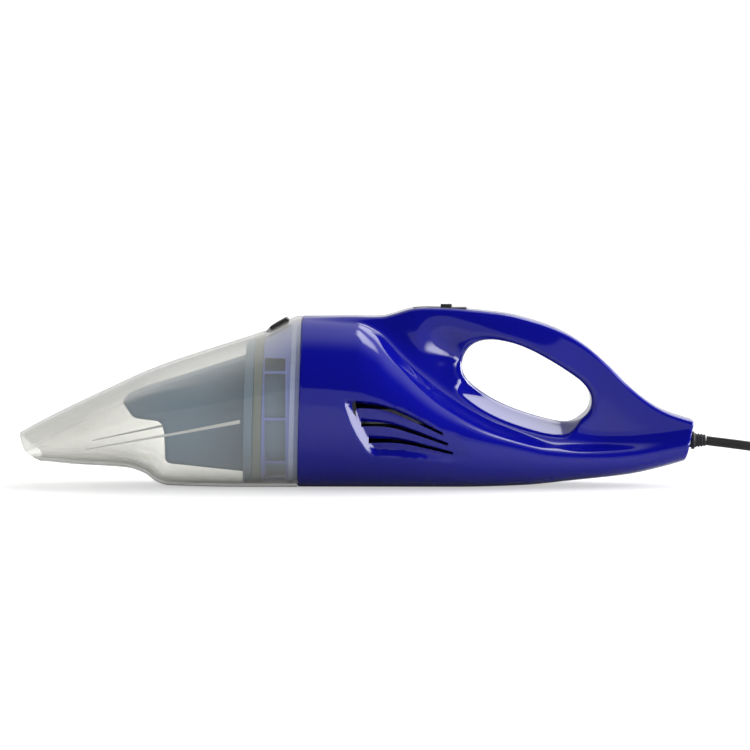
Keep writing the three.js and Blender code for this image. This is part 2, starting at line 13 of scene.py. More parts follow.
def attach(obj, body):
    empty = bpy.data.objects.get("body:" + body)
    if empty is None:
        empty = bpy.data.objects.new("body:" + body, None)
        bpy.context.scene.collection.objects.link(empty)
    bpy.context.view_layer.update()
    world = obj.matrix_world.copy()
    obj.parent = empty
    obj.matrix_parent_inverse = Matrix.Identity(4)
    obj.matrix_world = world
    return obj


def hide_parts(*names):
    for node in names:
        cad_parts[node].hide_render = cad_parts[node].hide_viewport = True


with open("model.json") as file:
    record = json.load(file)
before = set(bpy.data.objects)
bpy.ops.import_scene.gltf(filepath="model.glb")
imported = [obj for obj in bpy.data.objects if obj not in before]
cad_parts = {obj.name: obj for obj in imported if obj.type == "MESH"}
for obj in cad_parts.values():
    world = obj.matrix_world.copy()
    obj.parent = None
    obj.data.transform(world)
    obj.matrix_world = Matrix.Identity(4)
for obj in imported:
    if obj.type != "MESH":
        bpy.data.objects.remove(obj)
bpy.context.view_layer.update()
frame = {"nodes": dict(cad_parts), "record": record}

MM = 0.001

# ---- driving dimensions, as in the frame's design ----
BODY_WALL = 2.5
BOWL_WALL = 2.0
GAP = 0.3
JOINT_X = -33.2
JOINT_LEAN = 0.027
LEAN_CENTRE_Z = 50.0
RELIEF_Z = 26.6
CORD_WIDTH = 5.6
CORD_THICKNESS = 2.8
COIL_X, COIL_Y = 316.0, 50.0
PLUG_Y, PLUG_Z = -39.0, 12.4

# Side outlines are (x, z). HULL_HALF_WIDTH has y and SHOULDER_BLEND a share in place of z.
HULL_TOP = [(-203, 29.6), (-190, 36.9), (-168, 48), (-147, 57.9), (-125, 68), (-104, 75.9), (-82, 83.1),
            (-62, 89.6), (-53, 92.8), (-33.2, 101), (0, 99.5), (12, 95), (25, 83.5), (38, 71), (50, 60.5),
            (65, 50), (80, 41.5), (95, 35.5), (117, 29.5), (140, 27), (162, 27.5), (203, 33)]
HULL_BOTTOM = [(-203, 15.5), (-185, 14.8), (-168, 13.1), (-136, 11), (-125, 7.4), (-118, 2.4), (-111, 0.3),
               (-60, -0.8), (60, -0.8), (98, 0.4), (128, 3.2), (162, 6.8), (179, 10.3), (195, 14.8),
               (203, 17.5)]
HULL_HALF_WIDTH = [(-203, 26), (-190, 28), (-170, 32), (-150, 36.5), (-130, 41), (-110, 44.8), (-80, 48.2),
                   (-33.2, 50.4), (0, 50.5), (30, 49), (60, 45), (90, 39), (120, 32.5), (150, 26),
                   (180, 19.5), (203, 15.8)]
HULL_MIDDLE = [(-203, 21), (-190, 22.5), (-170, 26), (-150, 31), (-130, 36), (-110, 41), (-80, 46),
               (-33.2, 50), (0, 47), (30, 40), (60, 31), (90, 25), (120, 19), (150, 18), (203, 25)]
SHOULDER_Z = [(-203, 20.5), (-196, 23.7), (-189, 27.8), (-174, 35), (-159, 42.6), (-140, 51.3), (-110, 63)]
SHOULDER_BLEND = [(-155, 1), (-130, 0.75), (-100, 0.3), (-72, 0)]
SHOULDER_Y = 0.86
SPINE_TOP = [(-40, 97), (-28, 98.4), (-8, 100.5), (13.6, 100.7), (21.5, 102.1), (34.3, 105.6), (50, 105.9),
             (65.9, 104.9), (89.7, 102.2), (105.6, 98.2), (117, 94.3), (128.4, 88.6), (139.8, 80.6),
             (151, 70.4), (162.5, 58.9), (173.9, 49.8), (185.3, 43.6), (204, 37.6)]
SPINE_INSIDE = [(204, 22), (150, 12), (90, 22), (40, 40), (0, 60), (-40, 80)]
FINGER_HOLE = [(63.2, 69.2), (63.7, 76.2), (67.3, 82.4), (73, 86.1), (80.3, 87.2), (88.1, 86.3), (96, 84.2),
               (105.4, 80.2), (116.2, 74.2), (125.6, 68.2), (133.4, 62.4), (138.2, 56.2), (139.4, 50.5),
               (137.8, 45.1), (133.8, 41), (128.5, 38.6), (122, 38.1), (112, 40), (100, 43.6), (89.7, 47.4),
               (80.3, 52), (72.3, 57.2), (66.2, 62.8)]
SCREWS = [(12, 86), (24, 10), (84, 23), (108, 88), (153, 46), (178, 31)]

# The cord's route where it isn't coiled.
LEAD_ROUTE = [(208.4, 0, 26.4), (213, 0, 25.8), (222, 0, 24.7), (234, 0, 23.1), (245.6, 1.4, 21.4),
              (256.4, 5, 20.2), (265.6, 11.6, 19.8), (271.6, 19.8, 20), (273.8, 29.6, 20.3)]
TAIL_ROUTE = [(358, 29.6, 3), (358, 15, 3), (358, 0, 3), (356.4, -12, 4), (351, -23.6, 6),
              (342, -32.6, 8.6), (332, -38.2, 11.4), (325.8, -39, 12.3)]


# ---- small helpers ----
def metres(points):
    return [tuple(c * MM for c in p) for p in points]


def curve(table):
    """A monotone cubic through (x, value) pairs, as a function of an array."""
    xs, vs = (np.array(c, float) for c in zip(*table))
    slopes = np.diff(vs) / np.diff(xs)
    tangents = np.empty(len(xs))
    tangents[0], tangents[-1] = slopes[0], slopes[-1]
    product = slopes[:-1] * slopes[1:]
    total = slopes[:-1] + slopes[1:]
    tangents[1:-1] = np.where(product > 0, 2 * product / np.where(total == 0, 1, total), 0)

    def value(x):
        x = np.clip(np.asarray(x, float), xs[0], xs[-1])
        i = np.clip(np.searchsorted(xs, x) - 1, 0, len(xs) - 2)
        h = xs[i + 1] - xs[i]
        t = (x - xs[i]) / h
        rest = 1 - t
        start = vs[i] * (1 + 2 * t) + h * tangents[i] * t
        end = vs[i + 1] * (3 - 2 * t) - h * tangents[i + 1] * rest
        return start * rest * rest + end * t * t

    return value


hull_top = curve(HULL_TOP)
hull_bottom = curve(HULL_BOTTOM)
hull_half = curve(HULL_HALF_WIDTH)
hull_middle = curve(HULL_MIDDLE)
shoulder_z = curve(SHOULDER_Z)
shoulder_blend = curve(SHOULDER_BLEND)


def smooth_step(x, low, high):
    t = np.clip((x - low) / (high - low), 0, 1)
    return t * t * (3 - 2 * t)


def smooth_path(points, per_span=8, closed=False):
    """A Catmull-Rom curve through the points, as an array."""
    p = np.array(points, float)
    n = len(p)
    spans = n if closed else n - 1
    out = []
    for i in range(spans):
        pick = [(i + k) % n if closed else min(max(i + k, 0), n - 1) for k in (-1, 0, 1, 2)]
        a, b, c, d = (p[k] for k in pick)
        for step in range(per_span):
            t = step / per_span
            out.append(0.5 * (2 * b + (c - a) * t + (2 * a - 5 * b + 4 * c - d) * t * t
                              + (3 * b - a - 3 * c + d) * t ** 3))
    if not closed:
        out.append(p[-1])
    return np.array(out)


def mesh_object(name, vertices, faces):
    """A mesh object from millimetre vertices."""
    mesh = bpy.data.meshes.new(name)
    mesh.from_pydata([tuple(v) for v in np.asarray(vertices, float) * MM], [], [tuple(f) for f in faces])
    obj = bpy.data.objects.new(name, mesh)
    bpy.context.scene.collection.objects.link(obj)
    return obj


def shown_object(name, vertices, faces, material):
    obj = mesh_object(name, vertices, faces)
    obj.data.validate()
    obj.data.materials.append(material)
    return obj


def shade(obj, sharp_angle):
    """Smooth shading that keeps the edges above an angle sharp."""
    mesh = obj.data
    mesh.polygons.foreach_set("use_smooth", [True] * len(mesh.polygons))
    mesh.set_sharp_from_angle(angle=math.radians(sharp_angle))


def place(obj, body, slot, *nodes):
    """The piece rides on a body and stands for its CAD nodes, which are hidden; the slot is not used."""
    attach(obj, body)
    if nodes:
        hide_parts(*nodes)
    return obj


def apply_modifiers(obj):
    bpy.context.view_layer.update()
    graph = bpy.context.evaluated_depsgraph_get()
    mesh = bpy.data.meshes.new_from_object(obj.evaluated_get(graph))
    obj.modifiers.clear()
    obj.data = mesh
    return obj


# ---- materials ----
DRIFT_DETAIL = 5.0
ROUGHNESS_DRIFT = (0.8, 1.25)
GRAIN_DETAIL = 3.0
GRAIN_HEIGHT = 0.0003
RAMP_INPUTS = ("From Min", "From Max", "To Min", "To Max")


def feed(tree, node, inputs):
    """Sets a node's inputs; each one takes a plain value or another node's output."""
    for key, value in inputs.items():
        if isinstance(value, bpy.types.NodeSocket):
            tree.links.new(value, node.inputs[key])
        else:
            node.inputs[key].default_value = value


def add_node(tree, kind, inputs=None, **settings):
    node = tree.nodes.new("ShaderNode" + kind)
    for key, value in settings.items():
        setattr(node, key, value)
    feed(tree, node, inputs or {})
    return node


def material(name, color, roughness, variation=0.12, noise_scale=90.0, bump=0.0, bump_scale=900.0, **sockets):
    """Moulded or drawn surface: colour and roughness drift a little, and bump gives the texture."""
    mat = bpy.data.materials.new(name)
    mat.use_nodes = True
    tree = mat.node_tree
    shader = tree.nodes["Principled BSDF"]
    where = add_node(tree, "TexCoord").outputs["Object"]
    noise = add_node(tree, "TexNoise", {"Vector": where, "Scale": noise_scale, "Detail": DRIFT_DETAIL})
    drift = noise.outputs["Fac"]
    dark, light = ((*[min(1, c * share) for c in color], 1) for share in (1 - variation, 1 + variation))
    tint = add_node(tree, "Mix", {"Factor": drift, "A": dark, "B": light}, data_type="RGBA")
    glossy, matt = (roughness * share for share in ROUGHNESS_DRIFT)
    rough = add_node(tree, "MapRange", {"Value": drift, "To Min": glossy, "To Max": matt})
    feed(tree, shader, {"Base Color": tint.outputs["Result"], "Roughness": rough.outputs["Result"]})
    feed(tree, shader, {key.replace("_", " "): value for key, value in sockets.items()})
    if bump > 0:
        grain = add_node(tree, "TexNoise", {"Vector": where, "Scale": bump_scale, "Detail": GRAIN_DETAIL})
        height = {"Height": grain.outputs["Fac"], "Strength": bump, "Distance": GRAIN_HEIGHT}
        feed(tree, shader, {"Normal": add_node(tree, "Bump", height).outputs["Normal"]})
    return mat


CLEAR_TINT = (0.975, 0.973, 0.955)
CLEAR_ROUGHNESS = 0.3
EDGE_BLEND = 0.35
GLOSS_BLEND = 0.5
GLOSS_POWER = 5.0
GLOSS_FACE_ON = 0.04
# Haze added towards the nozzle, as a ramp over x: from this place to that one in metres, and how much.
NOZZLE_HAZE = (-0.11, -0.165, 0.0, 0.12)


def clear_material(name, color, low_haze, high_haze, roughness):
    """Clear moulding: open face on, hazier towards its edges, with a full gloss over it."""
    mat = material(name, color, CLEAR_ROUGHNESS, variation=0.03, noise_scale=25.0)
    tree = mat.node_tree
    facing = add_node(tree, "LayerWeight", {"Blend": EDGE_BLEND}).outputs["Facing"]
    haze = add_node(tree, "MapRange", {"Value": facing, "To Min": low_haze, "To Max": high_haze})
    where = add_node(tree, "TexCoord").outputs["Object"]
    forward = add_node(tree, "SeparateXYZ", {"Vector": where}).outputs["X"]
    nozzle = add_node(tree, "MapRange", {"Value": forward, **dict(zip(RAMP_INPUTS, NOZZLE_HAZE))})
    both = add_node(tree, "Math", {0: haze.outputs["Result"], 1: nozzle.outputs["Result"]},
                    operation="ADD", use_clamp=True)
    open_part = add_node(tree, "BsdfTransparent", {"Color": (*CLEAR_TINT, 1)})
    body = add_node(tree, "MixShader", {"Fac": both.outputs["Value"], 1: open_part.outputs["BSDF"],
                                        2: tree.nodes["Principled BSDF"].outputs["BSDF"]})
    grazing = add_node(tree, "LayerWeight", {"Blend": GLOSS_BLEND}).outputs["Facing"]
    steep = add_node(tree, "Math", {0: grazing, 1: GLOSS_POWER}, operation="POWER").outputs["Value"]
    mirror = add_node(tree, "MapRange", {"Value": steep, "To Min": GLOSS_FACE_ON}).outputs["Result"]
    gloss = add_node(tree, "BsdfGlossy", {"Roughness": roughness}).outputs["BSDF"]
    top = add_node(tree, "MixShader", {"Fac": mirror, 1: body.outputs["Shader"], 2: gloss})
    feed(tree, tree.nodes["Material Output"], {"Surface": top.outputs["Shader"]})
    return mat


# Colour, roughness, variation, its scale, bump and its scale.
BODY_BLUE = ((0.003, 0.004, 0.245), 0.08, 0.05, 18.0, 0.02, 260.0)
BODY_COAT = {"Coat_Weight": 0.2, "Coat_Roughness": 0.04, "Specular_IOR_Level": 0.5}
MOULDED = {
    "skirt_blue": ((0.24, 0.32, 0.8), 0.3, 0.06, 40.0, 0.05, 500.0),
    "filter_grey": ((0.2, 0.31, 0.44), 0.42, 0.06, 30.0, 0.05, 1400.0),
    "seal_grey": ((0.24, 0.29, 0.28), 0.6, 0.1, 60.0, 0.1, 1400.0),
    "filter_cloth": ((0.66, 0.64, 0.58), 0.95, 0.2, 700.0, 0.8, 2600.0),
    "black_plastic": ((0.014, 0.014, 0.015), 0.38, 0.25, 120.0, 0.2, 1800.0),
    "black_rubber": ((0.013, 0.013, 0.014), 0.6, 0.25, 120.0, 0.2, 1500.0),
    "pale_rubber": ((0.48, 0.58, 0.95), 0.5, 0.06, 80.0, 0.1, 1500.0),
    "cord_black": ((0.013, 0.013, 0.014), 0.42, 0.2, 160.0, 0.1, 900.0),
    "magnet_grey": ((0.06, 0.06, 0.065), 0.75, 0.3, 300.0, 0.3, 1500.0),
    "red_plastic": ((0.4, 0.012, 0.012), 0.35, 0.1, 120.0, 0.1, 900.0),
}
METALS = {
    "bright_steel": ((0.5, 0.51, 0.52), 0.3, 0.1, 220.0),
    "screw_steel": ((0.09, 0.09, 0.095), 0.4, 0.2, 300.0),
    "copper": ((0.5, 0.22, 0.1), 0.35, 0.25, 400.0, 0.4, 1200.0),
    "nickel": ((0.62, 0.6, 0.56), 0.2, 0.08, 200.0),
}
# Colour, haze face on, haze at the edges and the gloss's roughness.
CLEAR = {
    "clear_bowl": ((0.84, 0.84, 0.8), 0.06, 0.5, 0.05),
    # The guide rib's near-white, heavy haze is a painted highlight, standing in for light reflected along the
    # rib.
    "rib_painted_highlight": ((0.95, 0.97, 0.97), 0.65, 0.9, 0.2),
    "fuse_glass": ((0.8, 0.85, 0.83), 0.2, 0.8, 0.05),
}


def make_materials():
    made = {"body_blue": material("body_blue", *BODY_BLUE, **BODY_COAT)}
    made |= {name: material(name, *values) for name, values in MOULDED.items()}
    made |= {name: material(name, *values, Metallic=1.0) for name, values in METALS.items()}
    return made | {name: clear_material(name, *values) for name, values in CLEAR.items()}


# ---- camera, light and floor ----
CAMERA_AIM = (0.0113, 0.0, 0.0655)
CAMERA_ELEVATION = 4.0
CAMERA_DISTANCE = 2.4
SEEN_WIDTH = 0.446
FLOOR_SIZE = 6.0
FLOOR_GLOW = 0.5

# Each light is a product of ramps over a direction: axis, from, to, value before and value after.
BEHIND_LIGHT = [("Y", -0.3, 0.25, 0.02, 0.8)]
LOW_LIGHT = [("Z", 0.35, 0.37, 0.5, 0.0)]
RIGHT_SIDE = ("X", 0.5, 0.75, 0.0, 8.5)
RIGHT_LIGHT = [RIGHT_SIDE, ("Y", -0.88, -0.68, 0.0, 1.0), ("Z", 0.22, 0.36, 1.0, 0.0)]
UPPER_LIGHT = [RIGHT_SIDE, ("Y", -0.4, -0.25, 0.0, 1.0), ("Z", 0.5, 0.7, 1.0, 0.0)]
OVER_LIGHT = [("X", 0.05, 0.2, 0.0, 6.0), ("Z", 0.8, 0.88, 0.0, 1.0), ("Y", 0.08, 0.2, 0.0, 1.0),
              ("Z", 0.93, 0.96, 1.0, 0.0)]
REAR_LIGHT = [("Y", 0.36, 0.5, 0.0, 3.5), ("Z", 0.42, 0.52, 0.0, 1.0), ("X", 0.08, 0.2, 0.0, 1.0),
              ("Z", 0.74, 0.8, 1.0, 0.0)]
FRONT_FILL = 0.45


def make_camera():
    elevation = math.radians(CAMERA_ELEVATION)
    camera = bpy.data.objects.new("camera", bpy.data.cameras.new("camera"))
    bpy.context.scene.collection.objects.link(camera)
    backwards = Vector((0, -math.cos(elevation), math.sin(elevation)))
    camera.location = Vector(CAMERA_AIM) + CAMERA_DISTANCE * backwards
    camera.rotation_euler = (math.pi / 2 - elevation, 0, 0)
    camera.data.sensor_width = 36
    camera.data.lens = camera.data.sensor_width * CAMERA_DISTANCE / SEEN_WIDTH
    camera.data.clip_end = 50
    bpy.context.scene.camera = camera


def combined(tree, operation, values):
    """One output from several, by the same sum on each in turn."""
    total, *others = values
    for other in others:
        total = add_node(tree, "Math", {0: total, 1: other}, operation=operation).outputs["Value"]
    return total


def make_world():
    """White to the eye; for light, a bright back and right side, and a dark front above the horizon."""
    world = bpy.data.worlds.new("studio")
    bpy.context.scene.world = world
    world.use_nodes = True
    tree = world.node_tree
    where = add_node(tree, "TexCoord").outputs["Generated"]
    direction = add_node(tree, "SeparateXYZ", {"Vector": where}).outputs

    def ramp(axis, *values):
        inputs = {"Value": direction[axis], **dict(zip(RAMP_INPUTS, values))}
        return add_node(tree, "MapRange", inputs, interpolation_type="SMOOTHSTEP").outputs["Result"]

    lights = [combined(tree, "MULTIPLY", [ramp(*part) for part in light])
              for light in (BEHIND_LIGHT, LOW_LIGHT, RIGHT_LIGHT, UPPER_LIGHT, OVER_LIGHT, REAR_LIGHT)]
    rays = add_node(tree, "LightPath").outputs
    fill = add_node(tree, "MapRange", {"Value": rays["Is Glossy Ray"], "To Min": FRONT_FILL, "To Max": 0.0})
    strength = combined(tree, "MAXIMUM", [*lights, fill.outputs["Result"], rays["Is Camera Ray"]])
    feed(tree, tree.nodes["Background"], {"Strength": strength, "Color": (1, 1, 1, 1)})


def floor_material():
    """Matt white; to the eye it glows, so that it reads as a lit white table with faint shadows."""
    mat = material("floor_white", (0.55, 0.55, 0.55), 0.8, 0.01, 3.0)
    tree = mat.node_tree
    eye = add_node(tree, "LightPath").outputs["Is Camera Ray"]
    glow = add_node(tree, "MapRange", {"Value": eye, "To Max": FLOOR_GLOW}).outputs["Result"]
    feed(tree, tree.nodes["Principled BSDF"], {"Emission Color": (1, 1, 1, 1), "Emission Strength": glow})
    return mat


def make_stage():
    bpy.context.scene.view_settings.view_transform = "Standard"
    bpy.ops.mesh.primitive_plane_add(size=FLOOR_SIZE, location=(0, 0, 0))
    floor = bpy.context.object
    floor.name = "floor"
    floor.data.materials.append(floor_material())
    make_world()


# ---- cord ----
COIL_LAYERS, COIL_TURNS, STEPS_PER_TURN = 4, 19.5, 36
COIL_OUTER, COIL_INNER = 42.0, 27.9
LAYER_HEIGHT, LOWEST_TURN = 5.8, 3.0
DROP_SHARE = 0.2


def coil_route():
    """The coiled stretch: layers of turns wound in and out, from the top outer turn to the ground."""
    total = int(COIL_TURNS * STEPS_PER_TURN)
    per_layer = total / COIL_LAYERS
    points = []
    for i in range(1, total):
        layer = min(int(i / per_layer), COIL_LAYERS - 1)
        share = i / per_layer - layer
        inward = layer % 2 == 0
        radius = COIL_OUTER + (COIL_INNER - COIL_OUTER) * (share if inward else 1 - share)
        drop = max(0.0, 1 - i / per_layer % 1 * per_layer * DROP_SHARE) if layer else 0.0
        level = COIL_LAYERS - 1 - layer + drop
        angle = math.pi - 2 * math.pi * i / STEPS_PER_TURN
        points.append((COIL_X + radius * math.cos(angle), COIL_Y + radius * math.sin(angle),
                       LOWEST_TURN + LAYER_HEIGHT * level))
    return points


def swept(path, section):
    """A closed tube whose section's first axis lies level and second axis stands upright."""
    path = np.array(path)
    ahead = np.gradient(path, axis=0)
    ahead /= np.linalg.norm(ahead, axis=1)[:, None]
    side = np.cross(ahead, (0, 0, 1))
    side /= np.linalg.norm(side, axis=1)[:, None]
    up = np.cross(side, ahead)
    section = np.array(section)
    rings = path[:, None] + section[None, :, :1] * side[:, None] + section[None, :, 1:] * up[:, None]
    return rings.reshape(-1, 3), ring_faces(len(path), len(section))


CORE_SWEEP = 296.0
POINTS_PER_CORE = 7
CORD_SHARP = 75


def twin_section(width, thickness):
    """Two round cores side by side with a waist between them."""
    radius = thickness / 2
    centre = width / 2 - radius
    points = []
    for sign, middle in ((1, 90), (-1, 270)):
        for i in range(POINTS_PER_CORE):
            angle = math.radians(middle + CORE_SWEEP * (i / (POINTS_PER_CORE - 1) - 0.5))
            points.append((radius * math.cos(angle), sign * centre + radius * math.sin(angle)))
    return points


def make_cord(materials):
    lead = smooth_path(LEAD_ROUTE, 4)
    tail = smooth_path(TAIL_ROUTE, 4)
    path = np.vstack([lead, coil_route(), tail])
    vertices, faces = swept(path, twin_section(CORD_WIDTH, CORD_THICKNESS))
    cord = shown_object("lead", vertices, faces, materials["cord_black"])
    shade(cord, CORD_SHARP)
    place(cord, "root", "cord_black", "power_cord", "cord_coil", "cord_tail")
    return cord, metres(path)


# ---- the hull and spine as distance fields ----
LOWER_POWER = 2.5
CREST_ROUND = 2.6
CREST_HALF = 12.4
SIDE_DRAFT = 0.3
DRAFT_DEPTH = 24.0
TAIL_SLIMMING = 0.8
LIP_SLOPE = 1.75
LIP_HALF = 2.0
LIP_EDGE = 2.0
TAIL_TOP = (200.0, 36.0)
TAIL_BOTTOM = (195.0, 14.0)
TAIL_INSIDE_X = 193.0
BOSS_RADIUS = 5.0
FLAT_EDGE, TAIL_EDGE = 0.8, 1.2
UPPER_POWER = 2.0
SLOPE_STEP = 0.5
LEAST_SLOPE = 0.012
LEAN_FADE = (-120.0, 54.0)
SCOOP_DEPTH, SCOOP_HALF = 8.5, 12.0
SCOOP_START, SCOOP_SLOPE = (40.0, 84.0), 0.35
SCOOP_IN, SCOOP_OUT = (34.0, 61.0), (64.0, 104.0)
SLIMMING_RUN = (110.0, 150.0)
RIM_ROUND, RIM_EXTRA, RIM_RUN = 3.2, 3.0, (66.0, 96.0)
HOLE_AXIS_START, HOLE_AXIS_SLOPE = (66.0, 68.0), 0.24
UNDER_RISE, UNDER_END = (-3.0, 14.0), (122.0, 140.0)
LIP_OPEN = 18.0
JOIN_FRONT, JOIN_REAR = (3.0, 9.5, (-5.0, 55.0)), (6.0, (115.0, 150.0))
SEAM_SPARE = 1.6


def smooth_min(a, b, reach):
    share = np.maximum(reach - np.abs(a - b), 0) / reach
    return np.minimum(a, b) - share * share * reach / 4


def smooth_max(a, b, reach):
    return -smooth_min(-a, -b, reach)


def lean_at(x):
    share = np.where(x > JOINT_X, x / JOINT_X, (x - LEAN_FADE[0]) / LEAN_FADE[1])
    return JOINT_LEAN * np.clip(share, 0, 1)


def hull_share(x, y, z):
    """How far out a point lies, as a share of the hull's reach in its direction."""
    station = x - lean_at(x) * (z - LEAN_CENTRE_Z)
    middle = hull_middle(station)
    above = z > middle
    power = np.where(above, UPPER_POWER, LOWER_POWER)
    reach = np.where(above, hull_top(station) - middle, middle - hull_bottom(station))
    across = (np.abs(y) / hull_half(station)) ** power
    return (across + (np.abs(z - middle) / reach) ** power) ** (1 / power)


def hull_distance(x, y, z):
    """Roughly the distance to the hull in millimetres: the share past 1 over its own slope."""
    step = SLOPE_STEP
    squares = 0
    for dx, dy, dz in ((step, 0, 0), (0, step, 0), (0, 0, step)):
        rise = hull_share(x + dx, y + dy, z + dz) - hull_share(x - dx, y - dy, z - dz)
        squares = squares + (rise / (2 * step)) ** 2
    return (hull_share(x, y, z) - 1) / np.maximum(np.sqrt(squares), LEAST_SLOPE)


class SideTable:
    """Signed distance from a closed side outline, negative inside, kept on a fine table of x and z."""

    def __init__(self, outline, low=(-50.0, -6.0), high=(214.0, 116.0), step=0.5):
        self.low, self.step = low, step
        self.shape = [int((b - a) / step) + 1 for a, b in zip(low, high)]
        x, z = np.meshgrid(*(a + step * np.arange(n) for a, n in zip(low, self.shape)), indexing="ij")
        nearest = np.full(x.shape, 1e9)
        inside = np.zeros(x.shape, bool)
        for (ax, az), (bx, bz) in zip(outline, np.roll(outline, -1, axis=0)):
            dx, dz = bx - ax, bz - az
            t = np.clip(((x - ax) * dx + (z - az) * dz) / (dx * dx + dz * dz), 0, 1)
            nearest = np.minimum(nearest, (x - ax - t * dx) ** 2 + (z - az - t * dz) ** 2)
            inside ^= ((az > z) != (bz > z)) & (x < dx * (z - az) / (dz or 1e-9) + ax)
        self.values = np.where(inside, -1, 1) * np.sqrt(nearest)

    def __call__(self, x, z):
        u = np.clip((x - self.low[0]) / self.step, 0, self.shape[0] - 1.001)
        v = np.clip((z - self.low[1]) / self.step, 0, self.shape[1] - 1.001)
        i, j = u.astype(int), v.astype(int)
        s, t = u - i, v - j
        near = self.values[i, j] * (1 - t) + self.values[i, j + 1] * t
        far = self.values[i + 1, j] * (1 - t) + self.values[i + 1, j + 1] * t
        return near * (1 - s) + far * s


FAR_BELOW = [(400, 20), (400, -300), (-300, -300), (-300, 80)]
spine_outline = SideTable(np.vstack([smooth_path(SPINE_TOP, 8), SPINE_INSIDE]))
under_crest = SideTable(np.vstack([smooth_path(SPINE_TOP, 8), FAR_BELOW]))
finger_hole = SideTable(smooth_path(FINGER_HOLE, 10, closed=True))


def thumb_scoop(x, z):
    """The sides dip towards the front end of the finger hole."""
    middle = SCOOP_START[1] - SCOOP_SLOPE * (x - SCOOP_START[0])
    along = smooth_step(x, *SCOOP_IN) * (1 - smooth_step(x, *SCOOP_OUT))
    return SCOOP_DEPTH * along * np.exp(-((z - middle) / SCOOP_HALF) ** 2)


def rounded_edge(a, b, radius):
    """The common part of two shapes, with their edge rounded."""
    a, b = a + radius, b + radius
    return np.minimum(np.maximum(a, b), 0) + np.hypot(np.maximum(a, 0), np.maximum(b, 0)) - radius


def spine_distance(x, y, z):
    """The handle, widening a little downwards; under the finger hole it falls away from a ridge."""
    hole = finger_hole(x, z)
    outline = spine_outline(x, z)
    depth = DRAFT_DEPTH * np.tanh(np.maximum(-under_crest(x, z), 0) / DRAFT_DEPTH)
    depth = depth * (1 - TAIL_SLIMMING * smooth_step(x, *SLIMMING_RUN))
    half = CREST_HALF + SIDE_DRAFT * depth - thumb_scoop(x, z)
    across = (np.abs(y) - half) / math.hypot(1, SIDE_DRAFT)
    rim = RIM_ROUND + RIM_EXTRA * (1 - smooth_step(x, *RIM_RUN))
    plate = np.maximum(rounded_edge(outline, across, CREST_ROUND), rounded_edge(-hole, across, rim))
    hole_axis = HOLE_AXIS_START[1] - HOLE_AXIS_SLOPE * (x - HOLE_AXIS_START[0])
    under = smooth_step(hole_axis - z, *UNDER_RISE) * (1 - smooth_step(x, *UNDER_END))
    lip = np.abs(y) - LIP_HALF - LIP_SLOPE * np.maximum(hole, 0) - LIP_OPEN * (1 - under)
    return smooth_max(plate, lip / math.hypot(1, LIP_SLOPE), LIP_EDGE)


# ---- the vent recess: a steep front wall, and a floor that runs out to the rear ----
RECESS_DEPTH = 5.0
RECESS_WALL = 5.6
RECESS_RUN = 54.0
RECESS_TOP_EDGE = 1.6
RECESS_FLOOR_EDGE = 4.0
RECESS_TOP = curve([(-14, 56.5), (-1, 53.5), (19, 50.6), (36, 44), (51, 35)])
RECESS_FLOOR = curve([(-12, 23), (8, 21.6), (27, 20.6), (56, 17)])
RECESS_MIDDLE, RECESS_HALF = 39.4, 17.6
RECESS_FRONT, RECESS_LEAN, RECESS_BOW = 0.4, 0.44, 2.4
RECESS_SIDES = (16.0, 24.0)


def recess_front(z):
    up = z - RECESS_MIDDLE
    return RECESS_FRONT - up * RECESS_LEAN - RECESS_BOW * (1 - (up / RECESS_HALF) ** 2)


def recess_depth(x, z):
    behind = x - recess_front(z)
    ramp = np.clip(behind / RECESS_WALL, 0, 1)
    fade = np.clip(1 - (behind - RECESS_WALL) / RECESS_RUN, 0, 1)
    band = np.clip((RECESS_TOP(x) - z) / RECESS_TOP_EDGE, 0, 1)
    band = band * np.clip((z - RECESS_FLOOR(x)) / RECESS_FLOOR_EDGE, 0, 1)
    return RECESS_DEPTH * ramp * fade * band


def body_distance(x, y, z):
    """Hull and handle run into each other, more softly between the vents and the tail."""
    hull = hull_distance(x, y, z) + recess_depth(x, z) * smooth_step(np.abs(y), *RECESS_SIDES)
    start, more, rise = JOIN_FRONT
    less, fall = JOIN_REAR
    join = start + more * smooth_step(x, *rise) - less * smooth_step(x, *fall)
    return smooth_min(hull, spine_distance(x, y, z), join)


def shell_distance(x, y, z):
    """The right half of the hollow body, with its screw bosses and a little spare past the seam."""
    body = body_distance(x, np.abs(y), z)
    run, rise = TAIL_TOP[0] - TAIL_BOTTOM[0], TAIL_TOP[1] - TAIL_BOTTOM[1]
    tail = ((x - TAIL_TOP[0]) * rise - (z - TAIL_TOP[1]) * run) / math.hypot(run, rise)
    front = JOINT_X - (x - lean_at(x) * (z - LEAN_CENTRE_Z))
    outside = smooth_max(smooth_max(smooth_max(body, -z, FLAT_EDGE), tail, TAIL_EDGE), front, FLAT_EDGE)
    wall = np.maximum(outside, -np.maximum(body + BODY_WALL, x - TAIL_INSIDE_X))
    bosses = np.min([np.hypot(x - a, z - b) for a, b in SCREWS], axis=0) - BOSS_RADIUS
    wall = np.minimum(wall, np.maximum(outside, bosses))
    return np.maximum(wall, -SEAM_SPARE - y)


# ---- meshes from fields ----
NEWTON_ROUNDS = 4
NEWTON_STEP = 0.2
NEWTON_REACH = 0.4
RELAX_ROUNDS = 16
RELAX_SHARE = 0.5
VALLEY_START, VALLEY_END = (2.0, 12.0), (54.0, 62.0)
VALLEY_FOOT, VALLEY_TOP, VALLEY_SIDE = (3.0, 8.0), (84.0, 92.0), (8.0, 12.0)


